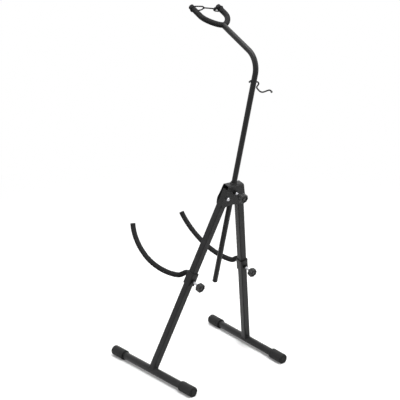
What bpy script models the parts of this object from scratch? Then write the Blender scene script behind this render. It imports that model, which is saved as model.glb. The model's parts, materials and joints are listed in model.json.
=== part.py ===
"""Folding cello stand: an A of two square legs under a saddle bracket, a sliding bent post with a padded
neck yoke, two padded body arms on clamped sleeves, and a wire bow hook.

Metres, +Z up. The cello stands on the -Y side, and the legs and the post lean back towards +Y. Right is +X.
Pieces are named for the side that they are on. Run it in Blender 4.5 or later.
"""

import math

import bmesh
import bpy
from mathutils import Matrix, Vector
from mathutils.geometry import interpolate_bezier

# Gaps between neighbours
GAP = 0.0003                # between pieces that touch
FIT_GAP = 0.0003            # round a bolt, a screw or a tube in its hole

# Stance
LEAN = math.radians(14.5)           # of the legs and the post, back from upright
LEG_SPREAD = math.radians(15.6)     # of each leg, out from the middle
BAR_TOE = math.radians(2.9)         # of each foot bar, its front end turned out
LEG_LENGTH = 0.5698                 # pivot bolt to foot bar axis
PIVOT_OFFSET = 0.025                # pivot bolt from the middle

# Legs
LEG_SIDE = 0.020
LEG_WALL = 0.0015
LEG_CORNER = 0.0025
PLUG_FLANGE = 0.0020
PLUG_DEPTH = 0.008

# Feet
BAR_DIAMETER = 0.022
BAR_WALL = 0.0015
FOOT_LENGTH = 0.365                 # over both caps
CAP_DIAMETER = 0.030
CAP_LENGTH = 0.053
CAP_END = 0.006
CAP_EDGE = 0.0028
CAP_MOUTH = 0.003                   # length that each cap's mouth is drawn in over
CAP_MOUTH_EDGE = 0.0015
CAP_RING_RADIUS = 0.0098
CAP_RING_WIDTH = 0.0016
CAP_RING_DEPTH = 0.0008
CAP_FLAT = 0.0005                   # worn flat that each cap rests on

# Hub bracket, measured from the pivot bolts' height
HUB_SHEET = 0.002
HUB_TOP = 0.0372
HUB_BEND = 0.004
HUB_TOP_HALF = 0.026
HUB_SHOULDER_HALF = 0.0360
HUB_SHOULDER_HEIGHT = 0.0080
HUB_WAIST_HALF = 0.0410
HUB_WAIST_HEIGHT = -0.0080
HUB_FOOT_HALF = 0.0370
HUB_FOOT_HEIGHT = -0.0275
HUB_ARCH = 0.0035                   # rise of the lower edge between the legs
HUB_SHOULDER_PULL = 0.0090          # how far each corner of the cheeks draws its curve
HUB_WAIST_PULL = 0.0060
HUB_FOOT_PULL = 0.0100
HUB_SIDE_SLANT = 0.38               # width gained over height lost, at the shoulder

# Post and its bush
POST_DIAMETER = 0.015
POST_WALL = 0.0015
POST_DROP = 0.284                   # below the pivot bolts
POST_RISE = 0.4025                  # pivot bolts to the corner of the bend
POST_BEND = math.radians(77.3)
POST_BEND_RADIUS = 0.052
POST_REACH = 0.1600                 # corner of the bend to the yoke rod
BUSH_WALL = 0.0012
BUSH_DROP = 0.020
BUSH_FLANGE = 0.0105
BUSH_FLANGE_HEIGHT = 0.0035
BUSH_EDGE = 0.0006
END_PLUG_FLANGE = 0.0025
END_PLUG_DEPTH = 0.014
END_PLUG_EDGE = 0.0010
END_PLUG_RIM = 0.0030               # width of the rim round the dished end

# Yoke, in its own plane
YOKE_ROD = 0.008
YOKE_HALF_WIDTH = 0.0425
YOKE_BASE_HANDLE = 0.013
YOKE_SIDE_HANDLE = 0.026
YOKE_BEND_DEPTH = 0.050
YOKE_RIGHT_DEPTH = 0.0950
YOKE_LEFT_DEPTH = 0.0850
YOKE_FOAM = 0.0130
YOKE_STEPS = 9

# Body arms, in the plane of the leg's axis; the route is (forward, up the leg) from the sleeve's screw
ARM_DROP = 0.2632                   # pivot bolt to the sleeve's screw, along the leg
ARM_ROD = 0.008
ARM_FOAM = 0.0130
ARM_START_HEIGHT = 0.0115
ARM_START_RUN = 0.003               # straight out of the sleeve
ARM_START_HANDLE = 0.013
ARM_KINK = (0.050, -0.015)
ARM_KINK_RUN = (0.014, -0.007)
ARM_LOW = (0.165, -0.041)
ARM_LOW_RUN = 0.045                 # level run at the lowest place
ARM_TIP = (0.3006, 0.0155)
ARM_TIP_RUN = (0.030, 0.040)
FOAM_START = 0.004
FOAM_LIP = 0.0030                   # foam past the end of the rod
TIP_CAP = 0.0022
TIP_CAP_FLAT = 0.0048
ARM_STEPS = 6

# Sleeves on the legs
SLEEVE_SHEET = 0.002
SLEEVE_SLACK = 0.0012               # behind the leg
SLEEVE_TOP = 0.023
SLEEVE_BOTTOM = 0.015
SLEEVE_CORNER = 0.003
SLEEVE_SLOT = 0.0025                # open seam at the outer rear corner
SLEEVE_SLOT_HEIGHT = 0.018

# Clamp knobs
SCREW_DIAMETER = 0.006
SCREW_TIP = 0.0015
NUT_WIDTH = 0.011
NUT_HEIGHT = 0.005
NUT_EDGE = 0.0004
HUB_CLAMP_HEIGHT = 0.0145           # above the pivot bolts
HUB_KNOB_STAND = 0.0265             # post axis to the knob's neck
HUB_NECK_HEIGHT = 0.014
ARM_KNOB_STAND = 0.0340             # leg axis to the knob's neck
ARM_NECK_HEIGHT = 0.006
KNOB_DIAMETER = 0.0268
KNOB_HEIGHT = 0.0125
KNOB_EDGE = 0.0022
KNOB_LOBES = 8
KNOB_LOBE_DEPTH = 0.0011
NECK_DIAMETER = 0.0125
NECK_NOSE = 0.0100
KNOB_BORE = 0.011                   # depth of the screw in the head

# Pivot bolts
BOLT_DIAMETER = 0.006
BOLT_HEAD = 0.0110
BOLT_HEAD_HEIGHT = 0.0034
BOLT_HEAD_FLAT = 0.0055
DOME_NUT_WIDTH = 0.010
DOME_NUT_HEX = 0.0036
DOME_NUT_HEIGHT = 0.0080
DOME_DIAMETER = 0.0093
BOLT_END = 0.0048                   # past the bracket, inside the dome nut

# Retaining cord, between the tips of the yoke
CORD_DIAMETER = 0.003
CORD_BITE = 0.0015                  # the loops' depth in the foam of the pads
CORD_PLACE = 0.0840                 # yoke rod's base to the cord
CATCH_PLACE = 0.0730
KNOT_DIAMETER = 0.0066
KNOT_PLACE = 0.0070                 # from the middle, towards the right pad
SPLIT_RUN = 0.0045                  # from the knot to where the loop's strands have run apart
SPLIT_SHARE = 0.70                  # of the loop's half width, there
BALL_DIAMETER = 0.009
BALL_PLACE = 0.0282                 # from the middle, towards the left pad
BALL_SET = 0.0030                   # ball's middle past the catch loop's plane
CATCH_END = 0.0205
CATCH_CORNER = 0.003

# Bow hook
HOOK_WIRE = 0.0035
HOOK_BELOW_BEND = 0.0219            # from the start of the post's bend
HOOK_GRIP_START = math.radians(44)  # round the post from its front, towards the right
HOOK_GRIP_END = math.radians(-90)
HOOK_GRIP_STEPS = 9
HOOK_FREE_RUN = 0.003               # straight run at the grip's free end
HOOK_FLARE = 0.0007                 # of that end, away from the post
HOOK_EAR = (                        # the turn down beside the post: (out from the grip, back, up)
    (0.0024, 0.0036, -0.0005),
    (0.0036, 0.0056, -0.0040),
    (0.0024, 0.0054, -0.0090),
    (0.0006, 0.0052, -0.0130),
)
HOOK_ROUTE = (                      # the hook behind the post: (back, up)
    (0.0087, -0.0160),
    (0.0150, -0.0180),
    (0.0230, -0.0185),
    (0.0310, -0.0160),
    (0.0390, -0.0110),
    (0.0460, -0.0055),
    (0.0520, -0.0016),
    (0.0570, -0.0004),
    (0.0610, -0.0016),
)
HOOK_GRIP_TIP_DIAMETER = 0.0044
HOOK_END_TIP_DIAMETER = 0.0050
HOOK_TIP_LENGTH = 0.0028
HOOK_TIP_FLAT = 0.0024

# Facets
ROUND = 20
SMALL_ROUND = 12
FOAM_ROUND = 12
CORD_ROUND = 8
BEND_STEPS = 9
HUB_STEPS = 5
FOLD_STEPS = 4                      # round each fold of the hub's sheet
CORNER_STEPS = 3                    # round each outer corner of a square tube
INNER_CORNER_STEPS = 2
EDGE_STEPS = 2                      # over a dipped tip or a cap's mouth
CAP_EDGE_STEPS = 3
HEAD_STEPS = 3
DOME_STEPS = 6
LOBE_POINTS = 4                     # on each lobe of a knob
LOOP_STEPS = 8
SMOOTH_STEPS = 2                    # between the chosen points of a cord or a wire
SMOOTH_ANGLE = math.radians(35)
BEVEL_ANGLE = math.radians(80)
EMPTY_SIZE = 0.03
MERGE = 0.00001

# Worked out from the above
BAR_HEIGHT = CAP_DIAMETER / 2 - CAP_FLAT
PIVOT_HEIGHT = LEG_LENGTH * math.cos(LEG_SPREAD)
HUB_HALF_DEPTH = LEG_SIDE / 2 + GAP + HUB_SHEET
BUSH_BORE = POST_DIAMETER / 2 + FIT_GAP
BUSH_RADIUS = BUSH_BORE + BUSH_WALL
LEG_STOP = (
    PIVOT_OFFSET - LEG_SIDE / 2 * math.cos(LEG_SPREAD) - BUSH_RADIUS - GAP
) / math.sin(LEG_SPREAD)            # leg's top above the pivot: its corner meets the bush
POST_BEND_START = POST_RISE - POST_BEND_RADIUS * math.tan(POST_BEND / 2)
SCREW_HOLE = SCREW_DIAMETER / 2 + FIT_GAP
BOLT_HOLE = BOLT_DIAMETER / 2 + FIT_GAP
SLEEVE_FRONT = LEG_SIDE / 2 + GAP + SLEEVE_SHEET
SLEEVE_REAR = LEG_SIDE / 2 + GAP + SLEEVE_SLACK + SLEEVE_SHEET

PARTS = "cello_stand"
CUTTERS = "cello_stand_cutters"


def clear_scene():
    for obj in list(bpy.data.objects):
        bpy.data.objects.remove(obj, do_unlink=True)


def new_collection(name):
    made = bpy.data.collections.new(name)
    bpy.context.scene.collection.children.link(made)
    return made


def new_material(name, colour, roughness, metallic):
    made = bpy.data.materials.new(name)
    made.use_nodes = True
    shader = made.node_tree.nodes["Principled BSDF"]
    shader.inputs["Base Color"].default_value = (*colour, 1.0)
    shader.inputs["Roughness"].default_value = roughness
    shader.inputs["Metallic"].default_value = metallic
    made.diffuse_color = (*colour, 1.0)
    return made


FINISHES = {
    "coated_steel": ((0.030, 0.030, 0.032), 0.45, 0.3),
    "zinc": ((0.62, 0.62, 0.64), 0.25, 1.0),
    "black_nut": ((0.035, 0.035, 0.037), 0.35, 0.8),
    "plastic": ((0.022, 0.022, 0.024), 0.5, 0.0),
    "rubber": ((0.028, 0.028, 0.029), 0.7, 0.0),
    "foam": ((0.020, 0.020, 0.021), 0.9, 0.0),
    "cord": ((0.025, 0.025, 0.027), 0.8, 0.0),
}


class Frame:
    """An empty that pieces hang on, with its place in the world kept beside it."""

    def __init__(self, name, parent=None, local=None):
        local = local or Matrix.Identity(4)
        self.world = parent.world @ local if parent else local
        self.empty = bpy.data.objects.new(name, None)
        self.empty.empty_display_size = EMPTY_SIZE
        bpy.data.collections[PARTS].objects.link(self.empty)
        if parent:
            self.empty.parent = parent.empty
        self.empty.matrix_local = local


def hang(obj, frame, local=None):
    obj.parent = frame.empty
    obj.matrix_local = local or Matrix.Identity(4)
    return obj


def shift(x=0.0, y=0.0, z=0.0):
    return Matrix.Translation((x, y, z))


def turn(angle, axis):
    return Matrix.Rotation(angle, 4, axis)


ALONG_Y = turn(-math.pi / 2, "X")   # turns a piece made along Z to point along +Y
ALONG_X = turn(math.pi / 2, "Y")    # turns a piece made along Z to point along +X
FLAT_IN_XZ = turn(math.pi / 2, "X")  # turns an outline drawn in X and Y to stand in X and Z


def add_piece(name, data, finish, frame, local=None):
    """A named sub-part of its own material, in the parts collection."""
    obj = bpy.data.objects.new(name, data)
    bpy.data.collections[PARTS].objects.link(obj)
    material = new_material(name, *FINISHES[finish])
    data.materials.append(material)
    return hang(obj, frame, local)


def add_cutter(name, data, frame, local=None):
    obj = bpy.data.objects.new(name, data)
    bpy.data.collections[CUTTERS].objects.link(obj)
    obj.hide_render = True
    obj.display_type = "WIRE"
    return hang(obj, frame, local)


def boolean(target, cutter, operation="DIFFERENCE"):
    modifier = target.modifiers.new(cutter.name, "BOOLEAN")
    modifier.operation = operation
    modifier.solver = "EXACT"
    modifier.object = cutter


def bevel(obj, width):
    """Takes off the edges that are square or sharper."""
    modifier = obj.modifiers.new("edge", "BEVEL")
    modifier.width = width
    modifier.segments = 1
    modifier.limit_method = "ANGLE"
    modifier.angle_limit = BEVEL_ANGLE


def smooth(mesh):
    mesh.shade_smooth()
    mesh.set_sharp_from_angle(angle=SMOOTH_ANGLE)
    return mesh


def cylinder_mesh(name, radius, length, sides=SMALL_ROUND):
    """A cylinder along Z from 0 to its length."""
    mesh = bpy.data.meshes.new(name)
    work = bmesh.new()
    bmesh.ops.create_cone(
        work, cap_ends=True, segments=sides, radius1=radius, radius2=radius, depth=length,
        matrix=shift(z=length / 2),
    )
    work.to_mesh(mesh)
    work.free()
    return smooth(mesh)


def box_mesh(name, low, high):
    mesh = bpy.data.meshes.new(name)
    work = bmesh.new()
    size = [b - a for a, b in zip(low, high)]
    centre = [(a + b) / 2 for a, b in zip(low, high)]
    bmesh.ops.create_cube(work, size=1.0, matrix=shift(*centre) @ Matrix.Diagonal((*size, 1.0)))
    work.to_mesh(mesh)
    work.free()
    return mesh


def turned(name, profile, finish, frame, local=None, steps=ROUND, closed=False):
    """A turned piece about Z: the profile of (radius, height) runs down its outer side from the top."""
    mesh = bpy.data.meshes.new(name)
    corners = [(radius, 0.0, height) for radius, height in profile]
    edges = [(i, i + 1) for i in range(len(corners) - 1)]
    if closed:
        edges.append((len(corners) - 1, 0))
    mesh.from_pydata(corners, edges, [])
    obj = add_piece(name, mesh, finish, frame, local)
    screw = obj.modifiers.new("turn", "SCREW")
    screw.steps = steps
    screw.render_steps = steps
    screw.use_merge_vertices = True
    screw.merge_threshold = MERGE
    screw.use_smooth_shade = True
    weld = obj.modifiers.new("weld", "WELD")
    weld.merge_threshold = MERGE
    return obj


def rounded_edge(radius, width, low, high, steps):
    """Profile points round an edge: they start that width inside the radius, at the high end."""
    turns = [math.pi / 2 * step / steps for step in range(steps + 1)]
    return [
        (radius - width + width * math.sin(a), low + (high - low) * math.cos(a)) for a in turns
    ]


def curve_data(name, points, radius, sides, caps=True, cyclic=False):
    """A round tube or rod along the points."""
    data = bpy.data.curves.new(name, "CURVE")
    data.dimensions = "3D"
    data.bevel_depth = radius
    data.bevel_resolution = (sides - 4) // 2
    data.use_fill_caps = caps
    spline = data.splines.new("POLY")
    spline.points.add(len(points) - 1)
    for target, point in zip(spline.points, points):
        target.co = (*point, 1.0)
    spline.use_cyclic_u = cyclic
    return data


def outline_data(name, outlines, thickness, edge=0.0):
    """A flat outline in X and Y, with any further outlines as holes, thick along Z about 0."""
    data = bpy.data.curves.new(name, "CURVE")
    data.dimensions = "2D"
    data.fill_mode = "BOTH"
    data.extrude = thickness / 2 - edge
    if edge:
        data.bevel_depth = edge
        data.bevel_resolution = 1
        data.offset = -edge
    for outline in outlines:
        spline = data.splines.new("POLY")
        spline.points.add(len(outline) - 1)
        for target, point in zip(spline.points, outline):
            target.co = (point[0], point[1], 0.0, 1.0)
        spline.use_cyclic_u = True
    return data


def mesh_of(data):
    """The mesh that a curve makes, its caps welded on."""
    maker = bpy.data.objects.new(data.name + "_curve", data)
    bpy.context.scene.collection.objects.link(maker)
    graph = bpy.context.evaluated_depsgraph_get()
    mesh = bpy.data.meshes.new_from_object(maker.evaluated_get(graph))
    work = bmesh.new()
    work.from_mesh(mesh)
    bmesh.ops.remove_doubles(work, verts=work.verts, dist=MERGE)
    bmesh.ops.recalc_face_normals(work, faces=work.faces)
    work.to_mesh(mesh)
    work.free()
    bpy.data.objects.remove(maker, do_unlink=True)
    bpy.data.curves.remove(data)
    return smooth(mesh)


def hollow_tube(name, points, radius, wall, sides, finish, frame):
    """An open tube surface given its wall inwards."""
    mesh = mesh_of(curve_data(name, points, radius, sides, caps=False))
    obj = add_piece(name, mesh, finish, frame)
    shell = obj.modifiers.new("wall", "SOLIDIFY")
    shell.thickness = wall
    shell.offset = -1.0
    shell.use_even_offset = True
    return obj


def rounded_rectangle(low, high, radius, steps):
    """Corner points of a rectangle with round corners, anticlockwise."""
    points = []
    for corner in range(4):
        right = corner in (0, 3)
        top = corner in (0, 1)
        centre_x = high[0] - radius if right else low[0] + radius
        centre_y = high[1] - radius if top else low[1] + radius
        for step in range(steps + 1):
            angle = math.pi / 2 * (corner + step / steps)
            points.append((centre_x + radius * math.cos(angle), centre_y + radius * math.sin(angle)))
    return points


def through_beziers(knots, steps):
    """Points along Bezier runs; each knot is (place, handle before, handle after)."""
    points = [Vector(knots[0][0])]
    for (start, _, leave), (end, arrive, _) in zip(knots, knots[1:]):
        points += interpolate_bezier(start, leave, arrive, end, steps + 1)[1:]
    return points


def smooth_through(places, steps):
    """Points on a smooth curve through the places."""
    places = [Vector(place) for place in places]
    knots = []
    for i, place in enumerate(places):
        before = places[max(i - 1, 0)]
        after = places[min(i + 1, len(places) - 1)]
        run = (after - before).normalized()
        knots.append((
            place,
            place - run * (place - before).length / 3,
            place + run * (after - place).length / 3,
        ))
    return through_beziers(knots, steps)


def stretch(points, start, end):
    """The part of a polyline between two lengths along it."""
    kept = []
    travelled = 0.0
    for a, b in zip(points, points[1:]):
        step = (b - a).length
        if travelled <= start < travelled + step:
            kept.append(a.lerp(b, (start - travelled) / step))
        elif start < travelled < end:
            kept.append(a)
        if travelled < end <= travelled + step + MERGE:
            kept.append(a.lerp(b, min((end - travelled) / step, 1.0)))
            break
        travelled += step
    return kept


def length_of(points):
    return sum((b - a).length for a, b in zip(points, points[1:]))


def arc(centre, radius, start, end, steps):
    return [
        (
            centre[0] + radius * math.cos(start + (end - start) * i / steps),
            centre[1] + radius * math.sin(start + (end - start) * i / steps),
        )
        for i in range(steps + 1)
    ]


def build_frames():
    frames = {}
    frames["root"] = Frame("stand")
    frames["lean"] = Frame("lean", frames["root"], shift(z=BAR_HEIGHT) @ turn(-LEAN, "X"))
    frames["hub"] = Frame("hub", frames["lean"], shift(z=PIVOT_HEIGHT))
    frames["hub_clamp"] = Frame("hub_clamp_axis", frames["hub"], shift(z=HUB_CLAMP_HEIGHT) @ ALONG_Y)
    frames["post"] = Frame("post_axis", frames["hub"])
    corner = frames["post"].world @ Vector((0.0, 0.0, POST_RISE))
    reach = frames["post"].world.to_3x3() @ Vector((0.0, -math.sin(POST_BEND), math.cos(POST_BEND)))
    across = Vector((1.0, 0.0, 0.0))
    over = across.cross(-reach)
    yoke = Matrix((across, -reach, over)).transposed().to_4x4()
    yoke.translation = corner + reach * POST_REACH
    frames["yoke"] = Frame("yoke_plane", frames["post"], frames["post"].world.inverted() @ yoke)
    frames["hook"] = Frame("bow_hook_axis", frames["post"], shift(z=POST_BEND_START - HOOK_BELOW_BEND))
    for side, sign in (("right", 1), ("left", -1)):
        leg = Frame(
            side + "_leg_pivot", frames["hub"], shift(x=sign * PIVOT_OFFSET) @ turn(-sign * LEG_SPREAD, "Y")
        )
        foot_place = leg.world @ Vector((0.0, 0.0, -LEG_LENGTH))
        foot = Matrix.Translation(foot_place) @ turn(sign * BAR_TOE, "Z")
        frames[side + "_leg"] = leg
        frames[side + "_foot"] = Frame(side + "_foot", leg, leg.world.inverted() @ foot)
        frames[side + "_arm"] = Frame(side + "_arm", leg, shift(z=-ARM_DROP))
        frames[side + "_arm_clamp"] = Frame(side + "_arm_clamp_axis", frames[side + "_arm"], ALONG_Y)
    return frames


def outline_knot(place, before, after):
    """A Bezier knot in an outline, its two handles measured from it."""
    x, z = place
    return (
        Vector((x, z, 0.0)),
        Vector((x + before[0], z + before[1], 0.0)),
        Vector((x + after[0], z + after[1], 0.0)),
    )


def hub_bracket(frame):
    """A sheet folded to an upside-down U, its cheeks cut to round shoulders."""
    half = HUB_HALF_DEPTH
    inner = half - HUB_SHEET
    low = HUB_FOOT_HEIGHT - HUB_BEND
    corner = HUB_BEND - HUB_SHEET
    quarter = math.pi / 2
    outside = arc((half - HUB_BEND, HUB_TOP - HUB_BEND), HUB_BEND, 0.0, quarter, FOLD_STEPS)
    outside += arc((HUB_BEND - half, HUB_TOP - HUB_BEND), HUB_BEND, quarter, 2 * quarter, FOLD_STEPS)
    inside = arc((corner - inner, HUB_TOP - HUB_BEND), corner, 2 * quarter, quarter, FOLD_STEPS)
    inside += arc((inner - corner, HUB_TOP - HUB_BEND), corner, quarter, 0.0, FOLD_STEPS)
    section = [(half, low)] + outside + [(-half, low), (-inner, low)] + inside + [(inner, low)]
    channel = outline_data("hub_bracket", [section], HUB_WAIST_HALF * 3)
    across = turn(math.pi / 2, "Z") @ FLAT_IN_XZ
    bracket = add_piece("hub_bracket", mesh_of(channel), "coated_steel", frame, across)

    top = (HUB_TOP_HALF, HUB_TOP + GAP)
    shoulder = (HUB_SHOULDER_HALF, HUB_SHOULDER_HEIGHT)
    waist = (HUB_WAIST_HALF, HUB_WAIST_HEIGHT)
    low_corner = (HUB_FOOT_HALF, HUB_FOOT_HEIGHT)
    middle = (0.0, HUB_FOOT_HEIGHT + HUB_ARCH)
    slant = (HUB_SIDE_SLANT * HUB_SHOULDER_PULL, -HUB_SHOULDER_PULL)
    knots = [
        outline_knot(top, (0.0, 0.0), slant),
        outline_knot(shoulder, (-slant[0], -slant[1]), slant),
        outline_knot(waist, (0.0, HUB_WAIST_PULL), (0.0, -HUB_WAIST_PULL)),
        outline_knot(low_corner, (HUB_WAIST_PULL / 2, 0.0), (-HUB_FOOT_PULL, 0.0)),
        outline_knot(middle, (HUB_FOOT_PULL, 0.0), (0.0, 0.0)),
    ]
    right = [(point.x, point.y) for point in through_beziers(knots, HUB_STEPS)]
    left = [(-x, z) for x, z in reversed(right[:-1])]
    cheeks = mesh_of(outline_data("cheek_outline", [right + left], HUB_HALF_DEPTH * 3))
    boolean(bracket, add_cutter("cheek_outline", cheeks, frame, FLAT_IN_XZ), "INTERSECT")

    web_hole = cylinder_mesh("bush_hole", BUSH_RADIUS + FIT_GAP, HUB_TOP, ROUND)
    boolean(bracket, add_cutter("bush_hole", web_hole, frame, shift(z=HUB_TOP / 2)))
    for side, sign in (("right", 1), ("left", -1)):
        hole = cylinder_mesh(side + "_pivot_hole", BOLT_HOLE, HUB_HALF_DEPTH * 4)
        place = shift(sign * PIVOT_OFFSET, -HUB_HALF_DEPTH * 2) @ ALONG_Y
        boolean(bracket, add_cutter(side + "_pivot_hole", hole, frame, place))
    screw_hole = cylinder_mesh("clamp_hole", SCREW_HOLE, HUB_HALF_DEPTH * 2)
    boolean(bracket, add_cutter("clamp_hole", screw_hole, frame, shift(z=HUB_CLAMP_HEIGHT) @ ALONG_Y))


def post_bush(frame):
    seat = HUB_TOP + GAP
    bush = turned(
        "post_bush",
        [
            (BUSH_BORE + BUSH_EDGE, seat + BUSH_FLANGE_HEIGHT),
            (BUSH_RADIUS + BUSH_EDGE, seat + BUSH_FLANGE_HEIGHT),
            (BUSH_FLANGE, seat + BUSH_FLANGE_HEIGHT / 3),
            (BUSH_FLANGE, seat),
            (BUSH_RADIUS, seat),
            (BUSH_RADIUS, -BUSH_DROP + BUSH_EDGE),
            (BUSH_RADIUS - BUSH_EDGE, -BUSH_DROP),
            (BUSH_BORE, -BUSH_DROP),
            (BUSH_BORE, seat + BUSH_FLANGE_HEIGHT - BUSH_EDGE),
        ],
        "plastic", frame, closed=True,
    )
    hole = cylinder_mesh("bush_screw_hole", SCREW_HOLE, BUSH_FLANGE * 2)
    boolean(bush, add_cutter("bush_screw_hole", hole, frame, shift(z=HUB_CLAMP_HEIGHT) @ ALONG_Y))


def hexagon_mesh(name, width, height):
    return cylinder_mesh(name, width / math.sqrt(3), height, 6)


def clamp_nut(name, frame, seat):
    """A hexagon nut welded on the sheet, its bore along the frame's Z axis."""
    nut = add_piece(name, hexagon_mesh(name, NUT_WIDTH, NUT_HEIGHT), "black_nut", frame, shift(z=seat + GAP))
    bevel(nut, NUT_EDGE)
    bore = cylinder_mesh(name + "_bore", SCREW_HOLE, NUT_HEIGHT * 2)
    boolean(nut, add_cutter(name + "_bore", bore, frame, shift(z=seat + GAP - NUT_HEIGHT / 2)))


def clamp_screw(name, frame, tip, neck, neck_height):
    radius = SCREW_DIAMETER / 2
    end = neck + neck_height + KNOB_BORE - 2 * GAP
    turned(
        name,
        [
            (0.0, end),
            (radius, end),
            (radius, tip + SCREW_TIP),
            (radius - SCREW_TIP / 2, tip),
            (0.0, tip),
        ],
        "zinc", frame, steps=SMALL_ROUND,
    )


def clamp_knob(name, frame, neck, neck_height):
    """A lobed head on a tapered neck, with a blind bore for the screw."""
    count = KNOB_LOBES * LOBE_POINTS
    lobes = []
    for i in range(count):
        angle = 2 * math.pi * i / count
        radius = KNOB_DIAMETER / 2 - KNOB_LOBE_DEPTH * (1 - math.cos(KNOB_LOBES * angle)) / 2
        lobes.append((radius * math.cos(angle), radius * math.sin(angle)))
    head = mesh_of(outline_data(name, [lobes], KNOB_HEIGHT, KNOB_EDGE))
    centre = neck + neck_height + KNOB_HEIGHT / 2
    knob = add_piece(name, head, "plastic", frame, shift(z=centre))
    cone = bpy.data.meshes.new(name + "_neck")
    depth = neck_height + KNOB_HEIGHT / 2
    buried = NECK_NOSE + (NECK_DIAMETER - NECK_NOSE) * depth / neck_height
    work = bmesh.new()
    bmesh.ops.create_cone(
        work, cap_ends=True, segments=ROUND, radius1=NECK_NOSE / 2, radius2=buried / 2, depth=depth,
        matrix=shift(z=depth / 2),
    )
    work.to_mesh(cone)
    work.free()
    boolean(knob, add_cutter(name + "_neck", cone, frame, shift(z=neck)), "UNION")
    reach = neck_height + KNOB_BORE
    bore = cylinder_mesh(name + "_bore", SCREW_HOLE, reach * 2)
    boolean(knob, add_cutter(name + "_bore", bore, frame, shift(z=neck - reach)))


def pivot_bolt(side, frame):
    """A button-headed bolt from the front, in the hub's frame."""
    place = shift(x=PIVOT_OFFSET if side == "right" else -PIVOT_OFFSET) @ ALONG_Y
    radius = BOLT_DIAMETER / 2
    seat = -HUB_HALF_DEPTH - GAP
    end = HUB_HALF_DEPTH + BOLT_END
    crown = seat - BOLT_HEAD_HEIGHT
    shank = [(0.0, end), (radius, end), (radius, seat)]
    head = rounded_edge(BOLT_HEAD / 2, (BOLT_HEAD - BOLT_HEAD_FLAT) / 2, seat, crown, HEAD_STEPS)
    profile = shank + list(reversed(head)) + [(0.0, crown)]
    turned(side + "_pivot_bolt", profile, "zinc", frame, place, steps=SMALL_ROUND)


def pivot_nut(side, frame):
    """A dome nut on the rear cheek."""
    name = side + "_pivot_nut"
    x = PIVOT_OFFSET if side == "right" else -PIVOT_OFFSET
    seat = HUB_HALF_DEPTH + GAP
    place = shift(x=x, y=seat) @ ALONG_Y
    nut = add_piece(name, hexagon_mesh(name, DOME_NUT_WIDTH, DOME_NUT_HEX), "zinc", frame, place)
    radius = DOME_DIAMETER / 2
    base = DOME_NUT_HEX / 2
    profile = rounded_edge(radius, radius, DOME_NUT_HEIGHT - radius, DOME_NUT_HEIGHT, DOME_STEPS)
    dome = bpy.data.objects.new(name + "_dome", bpy.data.meshes.new(name + "_dome"))
    corners = [(r, 0.0, z) for r, z in profile + [(radius, base), (0.0, base)]]
    dome.data.from_pydata(corners, [(i, i + 1) for i in range(len(corners) - 1)], [])
    bpy.data.collections[CUTTERS].objects.link(dome)
    dome.hide_render = True
    dome.display_type = "WIRE"
    hang(dome, frame, place)
    screw = dome.modifiers.new("turn", "SCREW")
    screw.steps = SMALL_ROUND * 2
    screw.render_steps = SMALL_ROUND * 2
    screw.use_merge_vertices = True
    screw.merge_threshold = MERGE
    weld = dome.modifiers.new("weld", "WELD")
    weld.merge_threshold = MERGE
    boolean(nut, dome, "UNION")
    depth = BOLT_END + GAP
    bore = cylinder_mesh(name + "_bore", BOLT_HOLE, depth * 2)
    boolean(nut, add_cutter(name + "_bore", bore, frame, place @ shift(z=-depth)))


def leg_tube(side, leg, foot):
    """A square tube from under its top plug down to the foot bar, coped to sit on it."""
    name = side + "_leg_tube"
    half = LEG_SIDE / 2
    inner = half - LEG_WALL
    outlines = [
        rounded_rectangle((-half, -half), (half, half), LEG_CORNER, CORNER_STEPS),
        rounded_rectangle((-inner, -inner), (inner, inner), LEG_CORNER - LEG_WALL, INNER_CORNER_STEPS),
    ]
    top = LEG_STOP - PLUG_FLANGE - GAP
    length = top + LEG_LENGTH
    tube = add_piece(
        name, mesh_of(outline_data(name, outlines, length)), "coated_steel", leg, shift(z=top - length / 2)
    )
    hole = cylinder_mesh(name + "_pivot_bore", BOLT_HOLE, LEG_SIDE * 2)
    boolean(tube, add_cutter(name + "_pivot_bore", hole, leg, shift(y=-LEG_SIDE) @ ALONG_Y))
    cope = cylinder_mesh(name + "_cope", BAR_DIAMETER / 2 + GAP, LEG_SIDE * 4, ROUND)
    boolean(tube, add_cutter(name + "_cope", cope, foot, shift(y=-LEG_SIDE * 2) @ ALONG_Y))


def leg_top_plug(side, leg):
    name = side + "_leg_top_plug"
    half = LEG_SIDE / 2
    inner = half - LEG_WALL - FIT_GAP
    corner = LEG_CORNER - LEG_WALL
    outline = rounded_rectangle((-half, -half), (half, half), LEG_CORNER, CORNER_STEPS)
    flange = mesh_of(outline_data(name, [outline], PLUG_FLANGE))
    plug = add_piece(name, flange, "plastic", leg, shift(z=LEG_STOP - PLUG_FLANGE / 2))
    section = rounded_rectangle((-inner, -inner), (inner, inner), corner, INNER_CORNER_STEPS)
    depth = PLUG_DEPTH + PLUG_FLANGE / 2
    insert = mesh_of(outline_data(name + "_insert", [section], depth))
    place = shift(z=LEG_STOP - PLUG_FLANGE / 2 - depth / 2)
    boolean(plug, add_cutter(name + "_insert", insert, leg, place), "UNION")


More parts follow.
